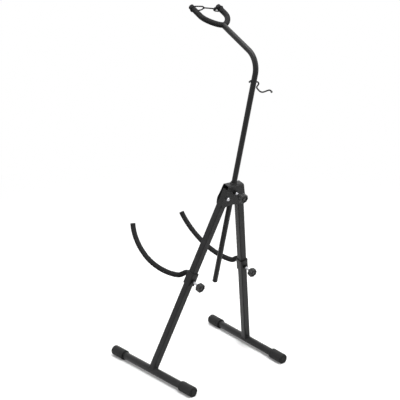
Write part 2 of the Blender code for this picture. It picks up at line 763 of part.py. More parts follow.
def foot(side, frame):
    """The round bar and its two caps, each cut flat where it rests."""
    bar_end = FOOT_LENGTH / 2 - CAP_END - GAP
    hollow_tube(
        side + "_foot_bar", [(0.0, -bar_end, 0.0), (0.0, bar_end, 0.0)],
        BAR_DIAMETER / 2, BAR_WALL, ROUND, "coated_steel", frame,
    )
    radius = CAP_DIAMETER / 2
    bore = BAR_DIAMETER / 2 + FIT_GAP
    ring = CAP_RING_RADIUS
    groove = CAP_RING_WIDTH / 2
    profile = [
        (0.0, CAP_LENGTH),
        (ring - groove, CAP_LENGTH),
        (ring - groove / 2, CAP_LENGTH - CAP_RING_DEPTH),
        (ring + groove / 2, CAP_LENGTH - CAP_RING_DEPTH),
        (ring + groove, CAP_LENGTH),
    ]
    profile += rounded_edge(radius, CAP_EDGE, CAP_LENGTH - CAP_EDGE, CAP_LENGTH, CAP_EDGE_STEPS)
    profile += reversed(rounded_edge(radius, CAP_MOUTH_EDGE, CAP_MOUTH, 0.0, EDGE_STEPS))
    profile += [
        (bore, 0.0),
        (bore, CAP_LENGTH - CAP_END),
        (0.0, CAP_LENGTH - CAP_END),
    ]
    for end, sign in (("front", -1), ("rear", 1)):
        name = side + "_foot_cap_" + end
        place = shift(y=sign * (FOOT_LENGTH / 2 - CAP_LENGTH)) @ turn(-sign * math.pi / 2, "X")
        cap = turned(name, profile, "rubber", frame, place)
        end_y = sign * FOOT_LENGTH / 2
        reach = CAP_LENGTH * 2
        floor = box_mesh(
            name + "_flat",
            (-CAP_DIAMETER, end_y - reach, -CAP_DIAMETER), (CAP_DIAMETER, end_y + reach, -BAR_HEIGHT),
        )
        boolean(cap, add_cutter(name + "_flat", floor, frame))


def arm_sleeve(side, frame):
    """A folded box round the leg, open at one corner seam, with the screw's hole behind."""
    name = side + "_arm_sleeve"
    half = LEG_SIDE / 2 + GAP + SLEEVE_SHEET
    inner = half - SLEEVE_SHEET
    outlines = [
        rounded_rectangle((-half, -SLEEVE_FRONT), (half, SLEEVE_REAR), SLEEVE_CORNER, CORNER_STEPS),
        rounded_rectangle(
            (-inner, SLEEVE_SHEET - SLEEVE_FRONT), (inner, SLEEVE_REAR - SLEEVE_SHEET),
            SLEEVE_CORNER - SLEEVE_SHEET, INNER_CORNER_STEPS,
        ),
    ]
    height = SLEEVE_TOP + SLEEVE_BOTTOM
    sleeve = add_piece(
        name, mesh_of(outline_data(name, outlines, height)), "coated_steel", frame,
        shift(z=SLEEVE_TOP - height / 2),
    )
    hole = cylinder_mesh(name + "_screw_hole", SCREW_HOLE, SLEEVE_REAR * 2)
    boolean(sleeve, add_cutter(name + "_screw_hole", hole, frame, ALONG_Y))
    sign = 1 if side == "right" else -1
    near, far = sorted((sign * (half - SLEEVE_CORNER - SLEEVE_SLOT), sign * (half - SLEEVE_CORNER)))
    slot = box_mesh(
        name + "_seam",
        (near, SLEEVE_REAR - SLEEVE_SHEET * 2, -SLEEVE_BOTTOM * 2),
        (far, SLEEVE_REAR * 2, SLEEVE_SLOT_HEIGHT - SLEEVE_BOTTOM),
    )
    boolean(sleeve, add_cutter(name + "_seam", slot, frame))


def arm_route():
    """The rod's middle line in the sleeve's frame, from its weld on the sleeve to the foam's end."""
    weld = Vector((0.0, -SLEEVE_FRONT - GAP, ARM_START_HEIGHT))
    start = (SLEEVE_FRONT + GAP + ARM_START_RUN, ARM_START_HEIGHT)
    kink_in = (ARM_KINK[0] - ARM_KINK_RUN[0], ARM_KINK[1] - ARM_KINK_RUN[1])
    kink_out = (ARM_KINK[0] + 2 * ARM_KINK_RUN[0], ARM_KINK[1] + 2 * ARM_KINK_RUN[1])
    low_in = (ARM_LOW[0] - ARM_LOW_RUN, ARM_LOW[1])
    low_out = (ARM_LOW[0] + ARM_LOW_RUN, ARM_LOW[1])
    tip_in = (ARM_TIP[0] - ARM_TIP_RUN[0], ARM_TIP[1] - ARM_TIP_RUN[1])
    flat = [
        (start, start, (start[0] + ARM_START_HANDLE, start[1])),
        (ARM_KINK, kink_in, kink_out),
        (ARM_LOW, low_in, low_out),
        (ARM_TIP, tip_in, ARM_TIP),
    ]
    knots = [tuple(Vector((0.0, -forward, up)) for forward, up in knot) for knot in flat]
    return [weld] + through_beziers(knots, ARM_STEPS)


def padded_rod(rod_name, foam_name, route, rod, foam, foam_start, frame):
    """A bent rod in a foam tube that ends a little past it."""
    total = length_of(route)
    rod_points = stretch(route, 0.0, total - FOAM_LIP)
    add_piece(
        rod_name, mesh_of(curve_data(rod_name, rod_points, rod / 2, SMALL_ROUND)), "coated_steel", frame
    )
    foam_points = stretch(route, foam_start, total)
    bore = rod / 2 + FIT_GAP
    return hollow_tube(foam_name, foam_points, foam / 2, foam / 2 - bore, FOAM_ROUND, "foam", frame)


def dipped_tip(name, frame, place, direction, diameter, flat, length):
    """A dipped cap on the end of a rod or a wire."""
    local = direction.to_track_quat("Z", "Y").to_matrix().to_4x4()
    local.translation = place
    profile = rounded_edge(diameter / 2, (diameter - flat) / 2, 0.0, length, EDGE_STEPS)
    profile = [(0.0, length)] + profile + [(0.0, 0.0)]
    turned(name, profile, "plastic", frame, local, steps=SMALL_ROUND)


def body_arm(side, frame):
    route = arm_route()
    padded_rod(side + "_arm_rod", side + "_arm_foam", route, ARM_ROD, ARM_FOAM, FOAM_START, frame)
    run = (route[-1] - route[-2]).normalized()
    place = route[-1] - run * (FOAM_LIP - GAP)
    dipped_tip(side + "_arm_tip_cap", frame, place, run, ARM_ROD, TIP_CAP_FLAT, TIP_CAP)


def post_route():
    """The post's middle line in its frame, from its lower end round the bend to the yoke rod."""
    points = [Vector((0.0, 0.0, -POST_DROP))]
    for y, z in arc((-POST_BEND_RADIUS, POST_BEND_START), POST_BEND_RADIUS, 0.0, POST_BEND, BEND_STEPS):
        points.append(Vector((0.0, y, z)))
    run = POST_REACH - YOKE_ROD / 4
    points.append(Vector((0.0, -run * math.sin(POST_BEND), POST_RISE + run * math.cos(POST_BEND))))
    return points


def post(frame, yoke):
    tube = hollow_tube(
        "post_tube", post_route(), POST_DIAMETER / 2, POST_WALL, ROUND, "coated_steel", frame
    )
    mouth = cylinder_mesh("post_fish_mouth", YOKE_ROD / 2 + GAP, POST_DIAMETER * 2, ROUND)
    boolean(tube, add_cutter("post_fish_mouth", mouth, yoke, shift(x=-POST_DIAMETER) @ ALONG_X))
    bore = POST_DIAMETER / 2 - POST_WALL - FIT_GAP
    seat = -POST_DROP - GAP
    rim = POST_DIAMETER / 2
    turned(
        "post_end_plug",
        [
            (0.0, seat + END_PLUG_DEPTH),
            (bore - END_PLUG_EDGE, seat + END_PLUG_DEPTH),
            (bore, seat + END_PLUG_DEPTH - END_PLUG_EDGE),
            (bore, seat),
            (rim, seat),
            (rim, seat - END_PLUG_FLANGE + END_PLUG_EDGE),
            (rim - END_PLUG_EDGE, seat - END_PLUG_FLANGE),
            (rim - END_PLUG_RIM, seat - END_PLUG_FLANGE),
            (rim - END_PLUG_RIM - END_PLUG_EDGE / 2, seat - END_PLUG_FLANGE + END_PLUG_EDGE),
            (0.0, seat - END_PLUG_FLANGE + END_PLUG_EDGE),
        ],
        "plastic", frame,
    )


def yoke_route():
    """The yoke rod's middle line in its plane, from the left tip round to the right; -Y is forward."""
    bend = interpolate_bezier(
        Vector((YOKE_HALF_WIDTH, -YOKE_BEND_DEPTH, 0.0)),
        Vector((YOKE_HALF_WIDTH, -YOKE_SIDE_HANDLE, 0.0)),
        Vector((YOKE_BASE_HANDLE, 0.0, 0.0)),
        Vector((0.0, 0.0, 0.0)),
        YOKE_STEPS,
    )
    right = [Vector((YOKE_HALF_WIDTH, -YOKE_RIGHT_DEPTH, 0.0))] + bend
    left = [Vector((-YOKE_HALF_WIDTH, -YOKE_LEFT_DEPTH, 0.0))]
    left += [Vector((-point.x, point.y, 0.0)) for point in bend]
    return left + list(reversed(right[:-1]))


def yoke(frame):
    route = yoke_route()
    total = length_of(route)
    rod_points = stretch(route, FOAM_LIP, total - FOAM_LIP)
    add_piece(
        "yoke_rod", mesh_of(curve_data("yoke_rod", rod_points, YOKE_ROD / 2, SMALL_ROUND)),
        "coated_steel", frame,
    )
    bore = YOKE_ROD / 2 + FIT_GAP
    foam = hollow_tube("yoke_foam", route, YOKE_FOAM / 2, YOKE_FOAM / 2 - bore, FOAM_ROUND, "foam", frame)
    pocket_top = YOKE_ROD / 4 - GAP
    pocket = cylinder_mesh("post_pocket", POST_DIAMETER / 2 + GAP, YOKE_FOAM, ROUND)
    boolean(foam, add_cutter("post_pocket", pocket, frame, shift(y=pocket_top) @ ALONG_Y))
    for side, end, before in (("left", route[0], route[1]), ("right", route[-1], route[-2])):
        run = (end - before).normalized()
        place = end - run * (FOAM_LIP - GAP)
        dipped_tip(side + "_yoke_tip_cap", frame, place, run, YOKE_ROD, TIP_CAP_FLAT, TIP_CAP)
    return foam


def cord_tube(name, points, frame, foam=None, cyclic=False):
    """A length of cord; one that goes round a pad presses its own groove in the foam."""
    radius = CORD_DIAMETER / 2
    add_piece(
        name, mesh_of(curve_data(name, points, radius, CORD_ROUND, not cyclic, cyclic)), "cord", frame
    )
    if foam:
        groove = mesh_of(curve_data(name + "_groove", points, radius + GAP, CORD_ROUND, not cyclic, cyclic))
        boolean(foam, add_cutter(name + "_groove", groove, frame))


def sphere_piece(name, diameter, finish, frame, place):
    mesh = bpy.data.meshes.new(name)
    work = bmesh.new()
    bmesh.ops.create_uvsphere(work, u_segments=SMALL_ROUND, v_segments=SMALL_ROUND // 2, radius=diameter / 2)
    work.to_mesh(mesh)
    work.free()
    return add_piece(name, smooth(mesh), finish, frame, shift(*place))


def retaining_cord(frame, foam):
    """A loop round the right pad, a knot, a strand and a ball that sits behind a loop on the left pad."""
    radius = CORD_DIAMETER / 2
    pull = YOKE_FOAM / 2 + radius - CORD_BITE
    start = KNOT_DIAMETER / 2 + GAP
    pair = radius + GAP
    leave = math.sqrt(start ** 2 - pair ** 2) + radius
    upper = [
        (KNOT_PLACE + leave, pair),
        (KNOT_PLACE + leave + SPLIT_RUN, pull * SPLIT_SHARE),
    ]
    around = arc((YOKE_HALF_WIDTH, 0.0), pull, math.pi / 2, -math.pi / 2, LOOP_STEPS)
    lower = [(x, -over) for x, over in reversed(upper)]
    places = [Vector((x, -CORD_PLACE, over)) for x, over in upper + around + lower]
    cord_tube("cord_loop", smooth_through(places, SMOOTH_STEPS), frame, foam)
    sphere_piece("cord_knot", KNOT_DIAMETER, "cord", frame, (KNOT_PLACE, -CORD_PLACE, 0.0))

    ball_depth = CATCH_PLACE + BALL_SET
    sphere_piece("cord_ball", BALL_DIAMETER, "plastic", frame, (-BALL_PLACE, -ball_depth, 0.0))
    over_catch = CATCH_PLACE + CORD_DIAMETER + 2 * GAP
    route = [
        (KNOT_PLACE - start, CORD_PLACE),
        (-CATCH_END, over_catch),
        (BALL_DIAMETER / 2 + GAP - BALL_PLACE, ball_depth),
    ]
    places = [Vector((x, -depth, 0.0)) for x, depth in route]
    cord_tube("cord_strand", smooth_through(places, SMOOTH_STEPS), frame)

    inner = BALL_DIAMETER / 2 + radius + GAP
    corner = CATCH_CORNER
    end = -CATCH_END
    ring = arc((end - corner, inner - corner), corner, 0.0, math.pi / 2, 3)
    ring += arc((-YOKE_HALF_WIDTH, 0.0), pull, math.pi / 2, 3 * math.pi / 2, LOOP_STEPS)
    ring += arc((end - corner, corner - inner), corner, -math.pi / 2, 0.0, 3)
    places = [Vector((x, -CATCH_PLACE, over)) for x, over in ring]
    cord_tube("catch_loop", places, frame, foam, cyclic=True)


def bow_hook(frame):
    """One spring wire: a grip round the front of the post, a turn down at its left, and the hook behind."""
    grip = POST_DIAMETER / 2 + HOOK_WIRE / 2 + GAP
    angles = [
        HOOK_GRIP_START + (HOOK_GRIP_END - HOOK_GRIP_START) * i / HOOK_GRIP_STEPS
        for i in range(HOOK_GRIP_STEPS + 1)
    ]
    places = [Vector((grip * math.sin(a), -grip * math.cos(a), 0.0)) for a in angles]
    outward = places[0].normalized()
    along = Vector((-outward.y, outward.x, 0.0))
    places.insert(0, places[0] + along * HOOK_FREE_RUN + outward * HOOK_FLARE)
    places += [Vector((-grip - out, back, up)) for out, back, up in HOOK_EAR]
    places += [Vector((-grip, back, up)) for back, up in HOOK_ROUTE]
    points = smooth_through(places, SMOOTH_STEPS)
    wire = mesh_of(curve_data("bow_hook", points, HOOK_WIRE / 2, CORD_ROUND))
    add_piece("bow_hook", wire, "coated_steel", frame)
    ends = (
        ("bow_hook_grip_tip", points[0], points[0] - points[1], HOOK_GRIP_TIP_DIAMETER),
        ("bow_hook_end_tip", points[-1], points[-1] - points[-2], HOOK_END_TIP_DIAMETER),
    )
    for name, end, run, diameter in ends:
        place = end + run.normalized() * GAP
        dipped_tip(name, frame, place, run, diameter, HOOK_TIP_FLAT, HOOK_TIP_LENGTH)


def centre_on_origin(root):
    """Moves the stand along Y so that the origin lies under the middle of its bounding box."""
    bpy.context.view_layer.update()
    graph = bpy.context.evaluated_depsgraph_get()
    low = math.inf
    high = -math.inf
    for obj in bpy.data.collections[PARTS].objects:
        if obj.type == "EMPTY":
            continue
        shaped = obj.evaluated_get(graph)
        mesh = shaped.to_mesh()
        for vertex in mesh.vertices:
            y = (shaped.matrix_world @ vertex.co).y
            low = min(low, y)
            high = max(high, y)
        shaped.to_mesh_clear()
    root.empty.location.y = -(low + high) / 2
    bpy.context.view_layer.update()


def main():
    clear_scene()
    new_collection(PARTS)
    new_collection(CUTTERS)
    frames = build_frames()
    hub = frames["hub"]
    hub_bracket(hub)
    post_bush(hub)
    clamp = frames["hub_clamp"]
    clamp_nut("hub_clamp_nut", clamp, HUB_HALF_DEPTH)
    clamp_screw("hub_clamp_screw", clamp, POST_DIAMETER / 2 + GAP, HUB_KNOB_STAND, HUB_NECK_HEIGHT)
    clamp_knob("hub_clamp_knob", clamp, HUB_KNOB_STAND, HUB_NECK_HEIGHT)
    for side in ("right", "left"):
        pivot_bolt(side, hub)
        pivot_nut(side, hub)
        leg_tube(side, frames[side + "_leg"], frames[side + "_foot"])
        leg_top_plug(side, frames[side + "_leg"])
        foot(side, frames[side + "_foot"])
        arm_sleeve(side, frames[side + "_arm"])
        body_arm(side, frames[side + "_arm"])
        clamp = frames[side + "_arm_clamp"]
        clamp_nut(side + "_arm_clamp_nut", clamp, SLEEVE_REAR)
        clamp_screw(side + "_arm_clamp_screw", clamp, LEG_SIDE / 2 + GAP, ARM_KNOB_STAND, ARM_NECK_HEIGHT)
        clamp_knob(side + "_arm_clamp_knob", clamp, ARM_KNOB_STAND, ARM_NECK_HEIGHT)
    post(frames["post"], frames["yoke"])
    foam = yoke(frames["yoke"])
    retaining_cord(frames["yoke"], foam)
    bow_hook(frames["hook"])
    centre_on_origin(frames["root"])


main()
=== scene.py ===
"""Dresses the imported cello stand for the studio: foam pads, lobed knobs, threaded clamp screws,
rubber feet, the wire bow hook and the braided retaining cord, with a material for every finish.

Metres, +Z up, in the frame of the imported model. The cello stands on the -Y side and right is +X.
"""

import json
import math

import bmesh
import bpy
from bpy.props import FloatProperty, FloatVectorProperty, IntProperty, PointerProperty
from mathutils import Matrix, Vector, noise
from mathutils.geometry import interpolate_bezier


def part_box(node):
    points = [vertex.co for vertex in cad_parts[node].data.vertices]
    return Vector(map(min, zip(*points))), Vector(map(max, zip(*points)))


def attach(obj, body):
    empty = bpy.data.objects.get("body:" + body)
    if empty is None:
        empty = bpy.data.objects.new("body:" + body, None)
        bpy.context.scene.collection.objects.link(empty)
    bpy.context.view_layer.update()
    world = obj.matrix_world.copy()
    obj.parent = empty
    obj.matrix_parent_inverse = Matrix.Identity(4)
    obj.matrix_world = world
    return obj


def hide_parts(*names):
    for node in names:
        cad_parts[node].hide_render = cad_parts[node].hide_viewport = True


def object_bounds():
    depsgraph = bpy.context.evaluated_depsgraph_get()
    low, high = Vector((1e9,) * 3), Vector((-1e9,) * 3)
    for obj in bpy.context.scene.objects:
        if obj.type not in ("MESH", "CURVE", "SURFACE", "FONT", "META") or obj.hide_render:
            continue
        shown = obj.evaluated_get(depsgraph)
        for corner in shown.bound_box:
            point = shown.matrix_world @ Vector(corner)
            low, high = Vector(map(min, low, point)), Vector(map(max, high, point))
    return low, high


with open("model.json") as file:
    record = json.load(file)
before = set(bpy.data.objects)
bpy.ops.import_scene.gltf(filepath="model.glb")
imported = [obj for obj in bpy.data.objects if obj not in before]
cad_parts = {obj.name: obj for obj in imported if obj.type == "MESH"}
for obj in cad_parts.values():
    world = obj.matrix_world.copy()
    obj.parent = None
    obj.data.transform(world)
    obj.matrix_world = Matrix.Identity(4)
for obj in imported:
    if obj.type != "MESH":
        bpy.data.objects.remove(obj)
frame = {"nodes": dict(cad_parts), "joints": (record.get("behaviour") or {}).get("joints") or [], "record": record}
CAD_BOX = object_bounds()

bl_info = {
    "name": "Cello stand",
    "version": (1, 0, 0),
    "blender": (4, 5, 0),
    "location": "View3D > Sidebar > Stand",
    "description": "Models the finished cello stand and its studio",
    "category": "Object",
}

SIDES = ("right", "left")

# Routes, in metres, on the piece's own plane
ARM_KNOTS = (                       # (place, handle before, handle after) as (forward, up the leg)
    ((0.0153, 0.0115), (0.0, 0.0), (0.013, 0.0)),
    ((0.050, -0.015), (-0.014, 0.007), (0.028, -0.014)),
    ((0.165, -0.041), (-0.045, 0.0), (0.045, 0.0)),
    ((0.3006, 0.0155), (-0.030, -0.040), (0.0, 0.0)),
)
ARM_WELD = (0.0123, 0.0115)         # (forward, up the leg)
HOOK_EAR = (                        # (out from the grip, back, up)
    (0.0024, 0.0036, -0.0005),
    (0.0036, 0.0056, -0.0040),
    (0.0022, 0.0058, -0.0070),
    (-0.0014, 0.0068, -0.0100),
)
HOOK_ROUTE = (                      # (in from the grip, back, up)
    (0.0036, 0.0087, -0.0124),
    (0.0034, 0.0150, -0.0154),
    (0.0029, 0.0230, -0.0174),
    (0.0022, 0.0310, -0.0160),
    (0.0014, 0.0390, -0.0110),
    (0.0007, 0.0460, -0.0055),
    (0.0002, 0.0520, -0.0016),
    (0.0, 0.0570, -0.0004),
    (0.0, 0.0610, -0.0016),
)
HOOK_GRIP = (math.radians(44), math.radians(-90))      # (start, end), turned from the front to the right
HOOK_START = (0.003, 0.0007)                           # (on past the grip, out)
CAP_RINGS = (0.0125, 0.0095, 0.0065)                   # grooves round a cap, from its mouth

LAMPS = (                           # (name, place from the stand's middle, side, watts)
    ("top_light", (-0.1, 0.4, 2.2), 1.8, 74.0),
    ("left_light", (3.0, -0.2, 1.3), 1.8, 31.0),
    ("right_light", (-2.4, 2.4, 1.0), 1.4, 42.0),
    ("far_light", (-1.5, -2.1, 1.35), 1.5, 12.0),
)
ROOM_LIGHT = 0.46
CAMERA_PLACE = (1.77528, 2.24968, 1.39042)             # from the floor under the middle of the feet
CAMERA_TOWARDS = (-0.59088, -0.74999, -0.29728)
CAMERA_LENS = 94.07
WHITE = (1.0, 1.0, 1.0, 1.0)

ONE_PLACE = 0.000002                                   # vertices nearer than this are merged

ALONG_Y = Matrix.Rotation(-math.pi / 2, 4, "X")
ALONG_X = Matrix.Rotation(math.pi / 2, 4, "Y")


def length(name, description, default):
    return FloatProperty(
        name=name, description=description, default=default, min=0.0, unit="LENGTH", precision=5
    )


def colour(name, description, default):
    return FloatVectorProperty(
        name=name, description=description, default=default, size=3, min=0.0, max=1.0, subtype="COLOR"
    )


class StandSizes(bpy.types.PropertyGroup):
    """Sizes of the finished pieces."""

    gap: length("Gap", "Between pieces that touch", 0.0003)
    edge: length("Sheet edge", "Width of the softened edges of folded sheet and tube ends", 0.0004)
    leg_side: length("Leg", "Across the square leg", 0.020)
    bar_diameter: length("Foot bar", "Outside the foot bar", 0.022)
    bar_wall: length("Foot bar wall", "Wall of the foot bar", 0.0015)
    foot_length: length("Foot", "Over both caps of a foot", 0.365)
    cap_diameter: length("Cap", "Outside a foot cap", 0.030)
    cap_length: length("Cap length", "From a cap's mouth to its end", 0.053)
    cap_end: length("Cap end", "Thickness of a cap's end", 0.006)
    cap_edge: length("Cap edge", "Rounding of a cap's end", 0.0028)
    cap_ring: length("Cap ring", "Radius of the groove moulded in a cap's end", 0.0098)
    cap_ring_width: length("Cap ring width", "Across that groove", 0.0030)
    cap_ring_depth: length("Cap ring depth", "Depth of that groove", 0.0016)
    cap_mouth: length("Cap mouth", "Width of the hollow between a cap's mouth and its bar", 0.0023)
    cap_hollow: length("Cap hollow", "Depth of that hollow", 0.0070)
    cap_lip: length("Cap lip", "Rounding of a cap's mouth, across", 0.0012)
    cap_lip_length: length("Cap lip length", "Rounding of a cap's mouth, along", 0.003)
    cap_rib: length("Cap rib", "Depth of the grooves round a cap", 0.0003)
    cap_rib_floor: length("Cap rib floor", "Half the width of such a groove at its floor", 0.0005)
    cap_rib_mouth: length("Cap rib mouth", "Half its width at the surface", 0.0009)
    bar_height: length("Bar height", "Middle of the foot bar above the floor", 0.0145)
    post_diameter: length("Post", "Outside the post", 0.015)
    post_drop: length("Post drop", "Post below the pivot bolts", 0.284)
    post_rise: length("Post rise", "Pivot bolts to the corner of the post's bend", 0.4025)
    post_bend_radius: length("Post bend radius", "Middle line of the post's bend", 0.052)
    post_reach: length("Post reach", "Corner of the bend to the yoke rod", 0.160)
    rod: length("Rod", "Diameter of the bent rods inside the pads", 0.008)
    foam: length("Foam", "Outside the foam tubes", 0.0154)
    foam_lip: length("Foam lip", "Foam past the end of its rod", 0.003)
    foam_start: length("Foam start", "Bare rod between the sleeve and the foam", 0.004)
    foam_corner: length("Foam corner", "Rounding of the cut ends of the foam", 0.0005)
    foam_wave: length("Foam unevenness", "How far the foam wanders from a true tube", 0.00012)
    foam_crease: length("Foam crease", "Depth of the creases inside the bends", 0.00028)
    foam_crease_pitch: length("Crease pitch", "From crease to crease", 0.0042)
    yoke_half: length("Yoke half width", "Middle of the yoke to the middle of a prong", 0.0425)
    yoke_bend: length("Yoke bend", "Depth over which the yoke bends", 0.050)
    yoke_corner: length("Yoke corner", "Handle of the bend on a prong, from the base", 0.026)
    yoke_round: length("Yoke round", "Handle of the bend at the yoke's base", 0.013)
    yoke_right: length("Right prong", "Depth of the right prong", 0.095)
    yoke_left: length("Left prong", "Depth of the left prong", 0.085)
    sleeve_front: length("Sleeve front", "Leg's middle to the sleeve's front", 0.0123)
    hub_half: length("Hub half depth", "Post's middle to the outside of the hub", 0.0123)
    pivot_offset: length("Pivot offset", "Middle of the stand to a pivot bolt", 0.025)
    screw: length("Clamp screw", "Outside the thread", 0.006)
    pitch: length("Pitch", "Pitch of the thread", 0.001)
    thread: length("Thread depth", "Depth of the thread", 0.00055)
    thread_play: length("Thread play", "How far the crests stay inside the screw's size", 0.00004)
    screw_chamfer: length("Screw chamfer", "Taken off round the screw's tip", 0.0009)
    hub_knob: length("Hub knob stand", "Post's middle to the knob's neck", 0.0265)
    hub_neck: length("Hub neck height", "Height of the hub knob's neck", 0.014)
    arm_knob: length("Arm knob stand", "Leg's middle to the knob's neck", 0.034)
    knob: length("Knob", "Across the knob's head", 0.0268)
    knob_height: length("Knob height", "Height of the knob's head", 0.0125)
    knob_edge: length("Knob edge", "Rounding of the knob's head", 0.0022)
    knob_lobe: length("Lobe depth", "Depth between the knob's lobes", 0.0015)
    knob_dish: length("Knob dish", "Depth of the ring sunk in the knob's face", 0.0030)
    knob_boss: length("Knob boss", "Radius of the boss in the middle of that ring", 0.0047)
    arm_neck: length("Arm neck height", "Height of the arm knobs' necks", 0.006)
    neck: length("Neck", "Across the neck where it meets the head", 0.0125)
    neck_nose: length("Neck nose", "Across the neck's end", 0.010)
    knob_bore: length("Knob bore", "Depth of the screw in the head", 0.011)
    bolt_head: length("Bolt head", "Across the pivot bolt's button head", 0.011)
    bolt_flat: length("Bolt flat", "Across the flat on the button head", 0.0055)
    bolt_height: length("Bolt head height", "Height of the button head", 0.0034)
    bolt_socket: length("Socket", "Across the flats of the socket in the head", 0.004)
    bolt: length("Bolt", "Diameter of the pivot bolt", 0.006)
    bolt_end: length("Bolt end", "Bolt past the bracket, inside its dome nut", 0.0048)
    cord: length("Cord", "Diameter of the retaining cord", 0.0036)
    cord_place: length("Cord place", "Yoke's base to the cord", 0.084)
    catch_place: length("Catch place", "Yoke's base to the catch loop", 0.073)
    cord_bite: length("Cord bite", "Depth of the loops in the pads", 0.0015)
    knot: length("Knot", "Diameter of the knot", 0.0066)
    knot_place: length("Knot place", "Middle of the yoke to the knot", 0.007)
    ball: length("Ball", "Diameter of the release ball", 0.009)
    ball_place: length("Ball place", "Middle of the yoke to the ball", 0.0282)
    ball_set: length("Ball set", "Ball's middle past the catch loop's plane", 0.003)
    catch_end: length("Catch end", "Middle of the yoke to the end of the catch loop", 0.0205)
    hook_wire: length("Hook wire", "Diameter of the bow hook's wire", 0.0041)
    hook_dip: length("Hook dip", "How far the dipped ends stand out over the plain ones", 0.0005)
    bead: length("Weld bead", "Radius of the weld beads", 0.0013)
    ripple: length("Weld ripple", "From ripple to ripple of the weld beads", 0.0016)
    lobes: IntProperty(name="Lobes", description="Lobes round each knob", default=8, min=3, max=16)


class StandColours(bpy.types.PropertyGroup):
    """Colours of the finishes."""

    powder: colour("Powder coat", "Black powder coat on the steel", (0.016, 0.016, 0.0164))
    powder_worn: colour("Rubbed coat", "Coat polished by the clamps", (0.027, 0.027, 0.0275))
    foam: colour("Foam", "Black foam of the pads", (0.0135, 0.0135, 0.0138))
    foam_pale: colour("Foam skin", "Cell walls that catch the light", (0.025, 0.025, 0.0255))
    rubber: colour("Rubber", "Black rubber of the feet", (0.0165, 0.0165, 0.0167))
    dust: colour("Dust", "Dust on the feet near the floor", (0.050, 0.048, 0.046))
    plastic: colour("Plastic", "Black moulded plastic", (0.016, 0.016, 0.0163))
    zinc: colour("Zinc", "Bright zinc plate", (0.50, 0.50, 0.52))
    zinc_dull: colour("Dull zinc", "Tarnish in the plate", (0.30, 0.30, 0.32))
    oxide: colour("Black oxide", "Blackened steel nuts", (0.024, 0.024, 0.025))
    oxide_worn: colour("Worn oxide", "Steel that shows through", (0.085, 0.080, 0.076))
    cord: colour("Cord", "Black braid of the retaining cord", (0.0055, 0.0055, 0.0058))
    cord_pale: colour("Cord highlight", "Raised strands of the braid", (0.015, 0.015, 0.016))
    floor: colour("Floor", "Pale studio floor", (0.93, 0.93, 0.93))
    floor_speckle: colour("Floor speckle", "Speckle in the floor", (0.90, 0.90, 0.90))
    floor_bounce: colour("Floor bounce", "The floor as it lights the stand from below", (0.30, 0.30, 0.30))


# Places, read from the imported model


def joint(name):
    return next(j for j in frame["joints"] if j["name"] == name)


def place_of(origin, across, back, up):
    """A matrix with its X, Y and Z axes along across, back and up."""
    made = Matrix((across, back, up)).transposed().to_4x4()
    made.translation = origin
    return made


def hub_place():
    up = Vector(joint("post_swivel")["axis"])
    across = Vector((1.0, 0.0, 0.0))
    return place_of(Vector(joint("post_swivel")["pos_m"]), across, up.cross(across), up)


def leg_place(side, joint_name):
    """A place on a leg: Z up the leg, Y towards the back."""
    up = Vector(joint(side + "_arm_height")["axis"])
    back = hub_place().to_3x3() @ Vector((0.0, 1.0, 0.0))
    return place_of(Vector(joint(side + joint_name)["pos_m"]), back.cross(up), back, up)


def foot_place(side, bar_height):
    """The middle of a foot bar: Y along the bar towards the back."""
    mounts = {m["name"]: Vector(m["pos_m"]) for m in frame["record"]["mounts"]}
    front = mounts[side + "_front_foot"]
    rear = mounts[side + "_rear_foot"]
    back = (rear - front).normalized()
    up = Vector((0.0, 0.0, 1.0))
    return place_of((front + rear) / 2 + up * bar_height, back.cross(up), back, up)


def yoke_place(sizes):
    """The yoke's plane: X to the right prong, -Y along the prongs, origin at the rod's base."""
    up = Vector(joint("cord_release")["axis"])
    across = Vector((1.0, 0.0, 0.0))
    back = up.cross(across)
    knot = Vector(joint("cord_release")["pos_m"])
    return place_of(knot - across * sizes.knot_place + back * sizes.cord_place, across, back, up)


def hook_place():
    made = hub_place()
    made.translation = Vector(joint("bow_hook_swing")["pos_m"])
    return made


# Modelling helpers


def aimed(place, along):
    """A lamp's or a camera's place, looking along a direction."""
    return Matrix.Translation(place) @ along.to_track_quat("-Z", "Y").to_matrix().to_4x4()


def start_clean():
    """Leaves nothing selected and edit mode closed."""
    if bpy.context.object and bpy.context.object.mode != "OBJECT":
        bpy.ops.object.mode_set(mode="OBJECT")
    bpy.ops.object.select_all(action="DESELECT")


def pick(*objs):
    start_clean()
    for obj in objs:
        obj.select_set(True)
    bpy.context.view_layer.objects.active = objs[0]


def edit(obj):
    pick(obj)
    bpy.ops.object.mode_set(mode="EDIT")
    bpy.ops.mesh.select_all(action="SELECT")


def to_object_mode():
    bpy.ops.object.mode_set(mode="OBJECT")


def apply_modifier(obj, kind, **settings):
    pick(obj)
    modifier = obj.modifiers.new(kind.lower(), kind)
    for key, value in settings.items():
        setattr(modifier, key, value)
    bpy.ops.object.modifier_apply(modifier=modifier.name)


def smooth_shading(obj, degrees=35):
    pick(obj)
    bpy.ops.object.shade_smooth_by_angle(angle=math.radians(degrees))


def tidy_faces(obj):
    """Merges doubles and points the faces outwards."""
    edit(obj)
    bpy.ops.mesh.remove_doubles(threshold=ONE_PLACE)
    bpy.ops.mesh.select_all(action="SELECT")
    bpy.ops.mesh.normals_make_consistent(inside=False)
    to_object_mode()


def set_down(obj, place):
    """Puts a piece made at the origin at its place, in its mesh."""
    obj.data.transform(place)
    return obj


def finish_piece(obj, name, body, slot, finish, *nodes):
    """Names a piece, gives it its finish and its body, and hides the solids that it stands for."""
    obj.name = name
    obj.data.name = name
    obj.data.materials.clear()
    obj.data.materials.append(finish)
    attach(obj, body)
    if nodes:
        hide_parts(*nodes)
    return obj


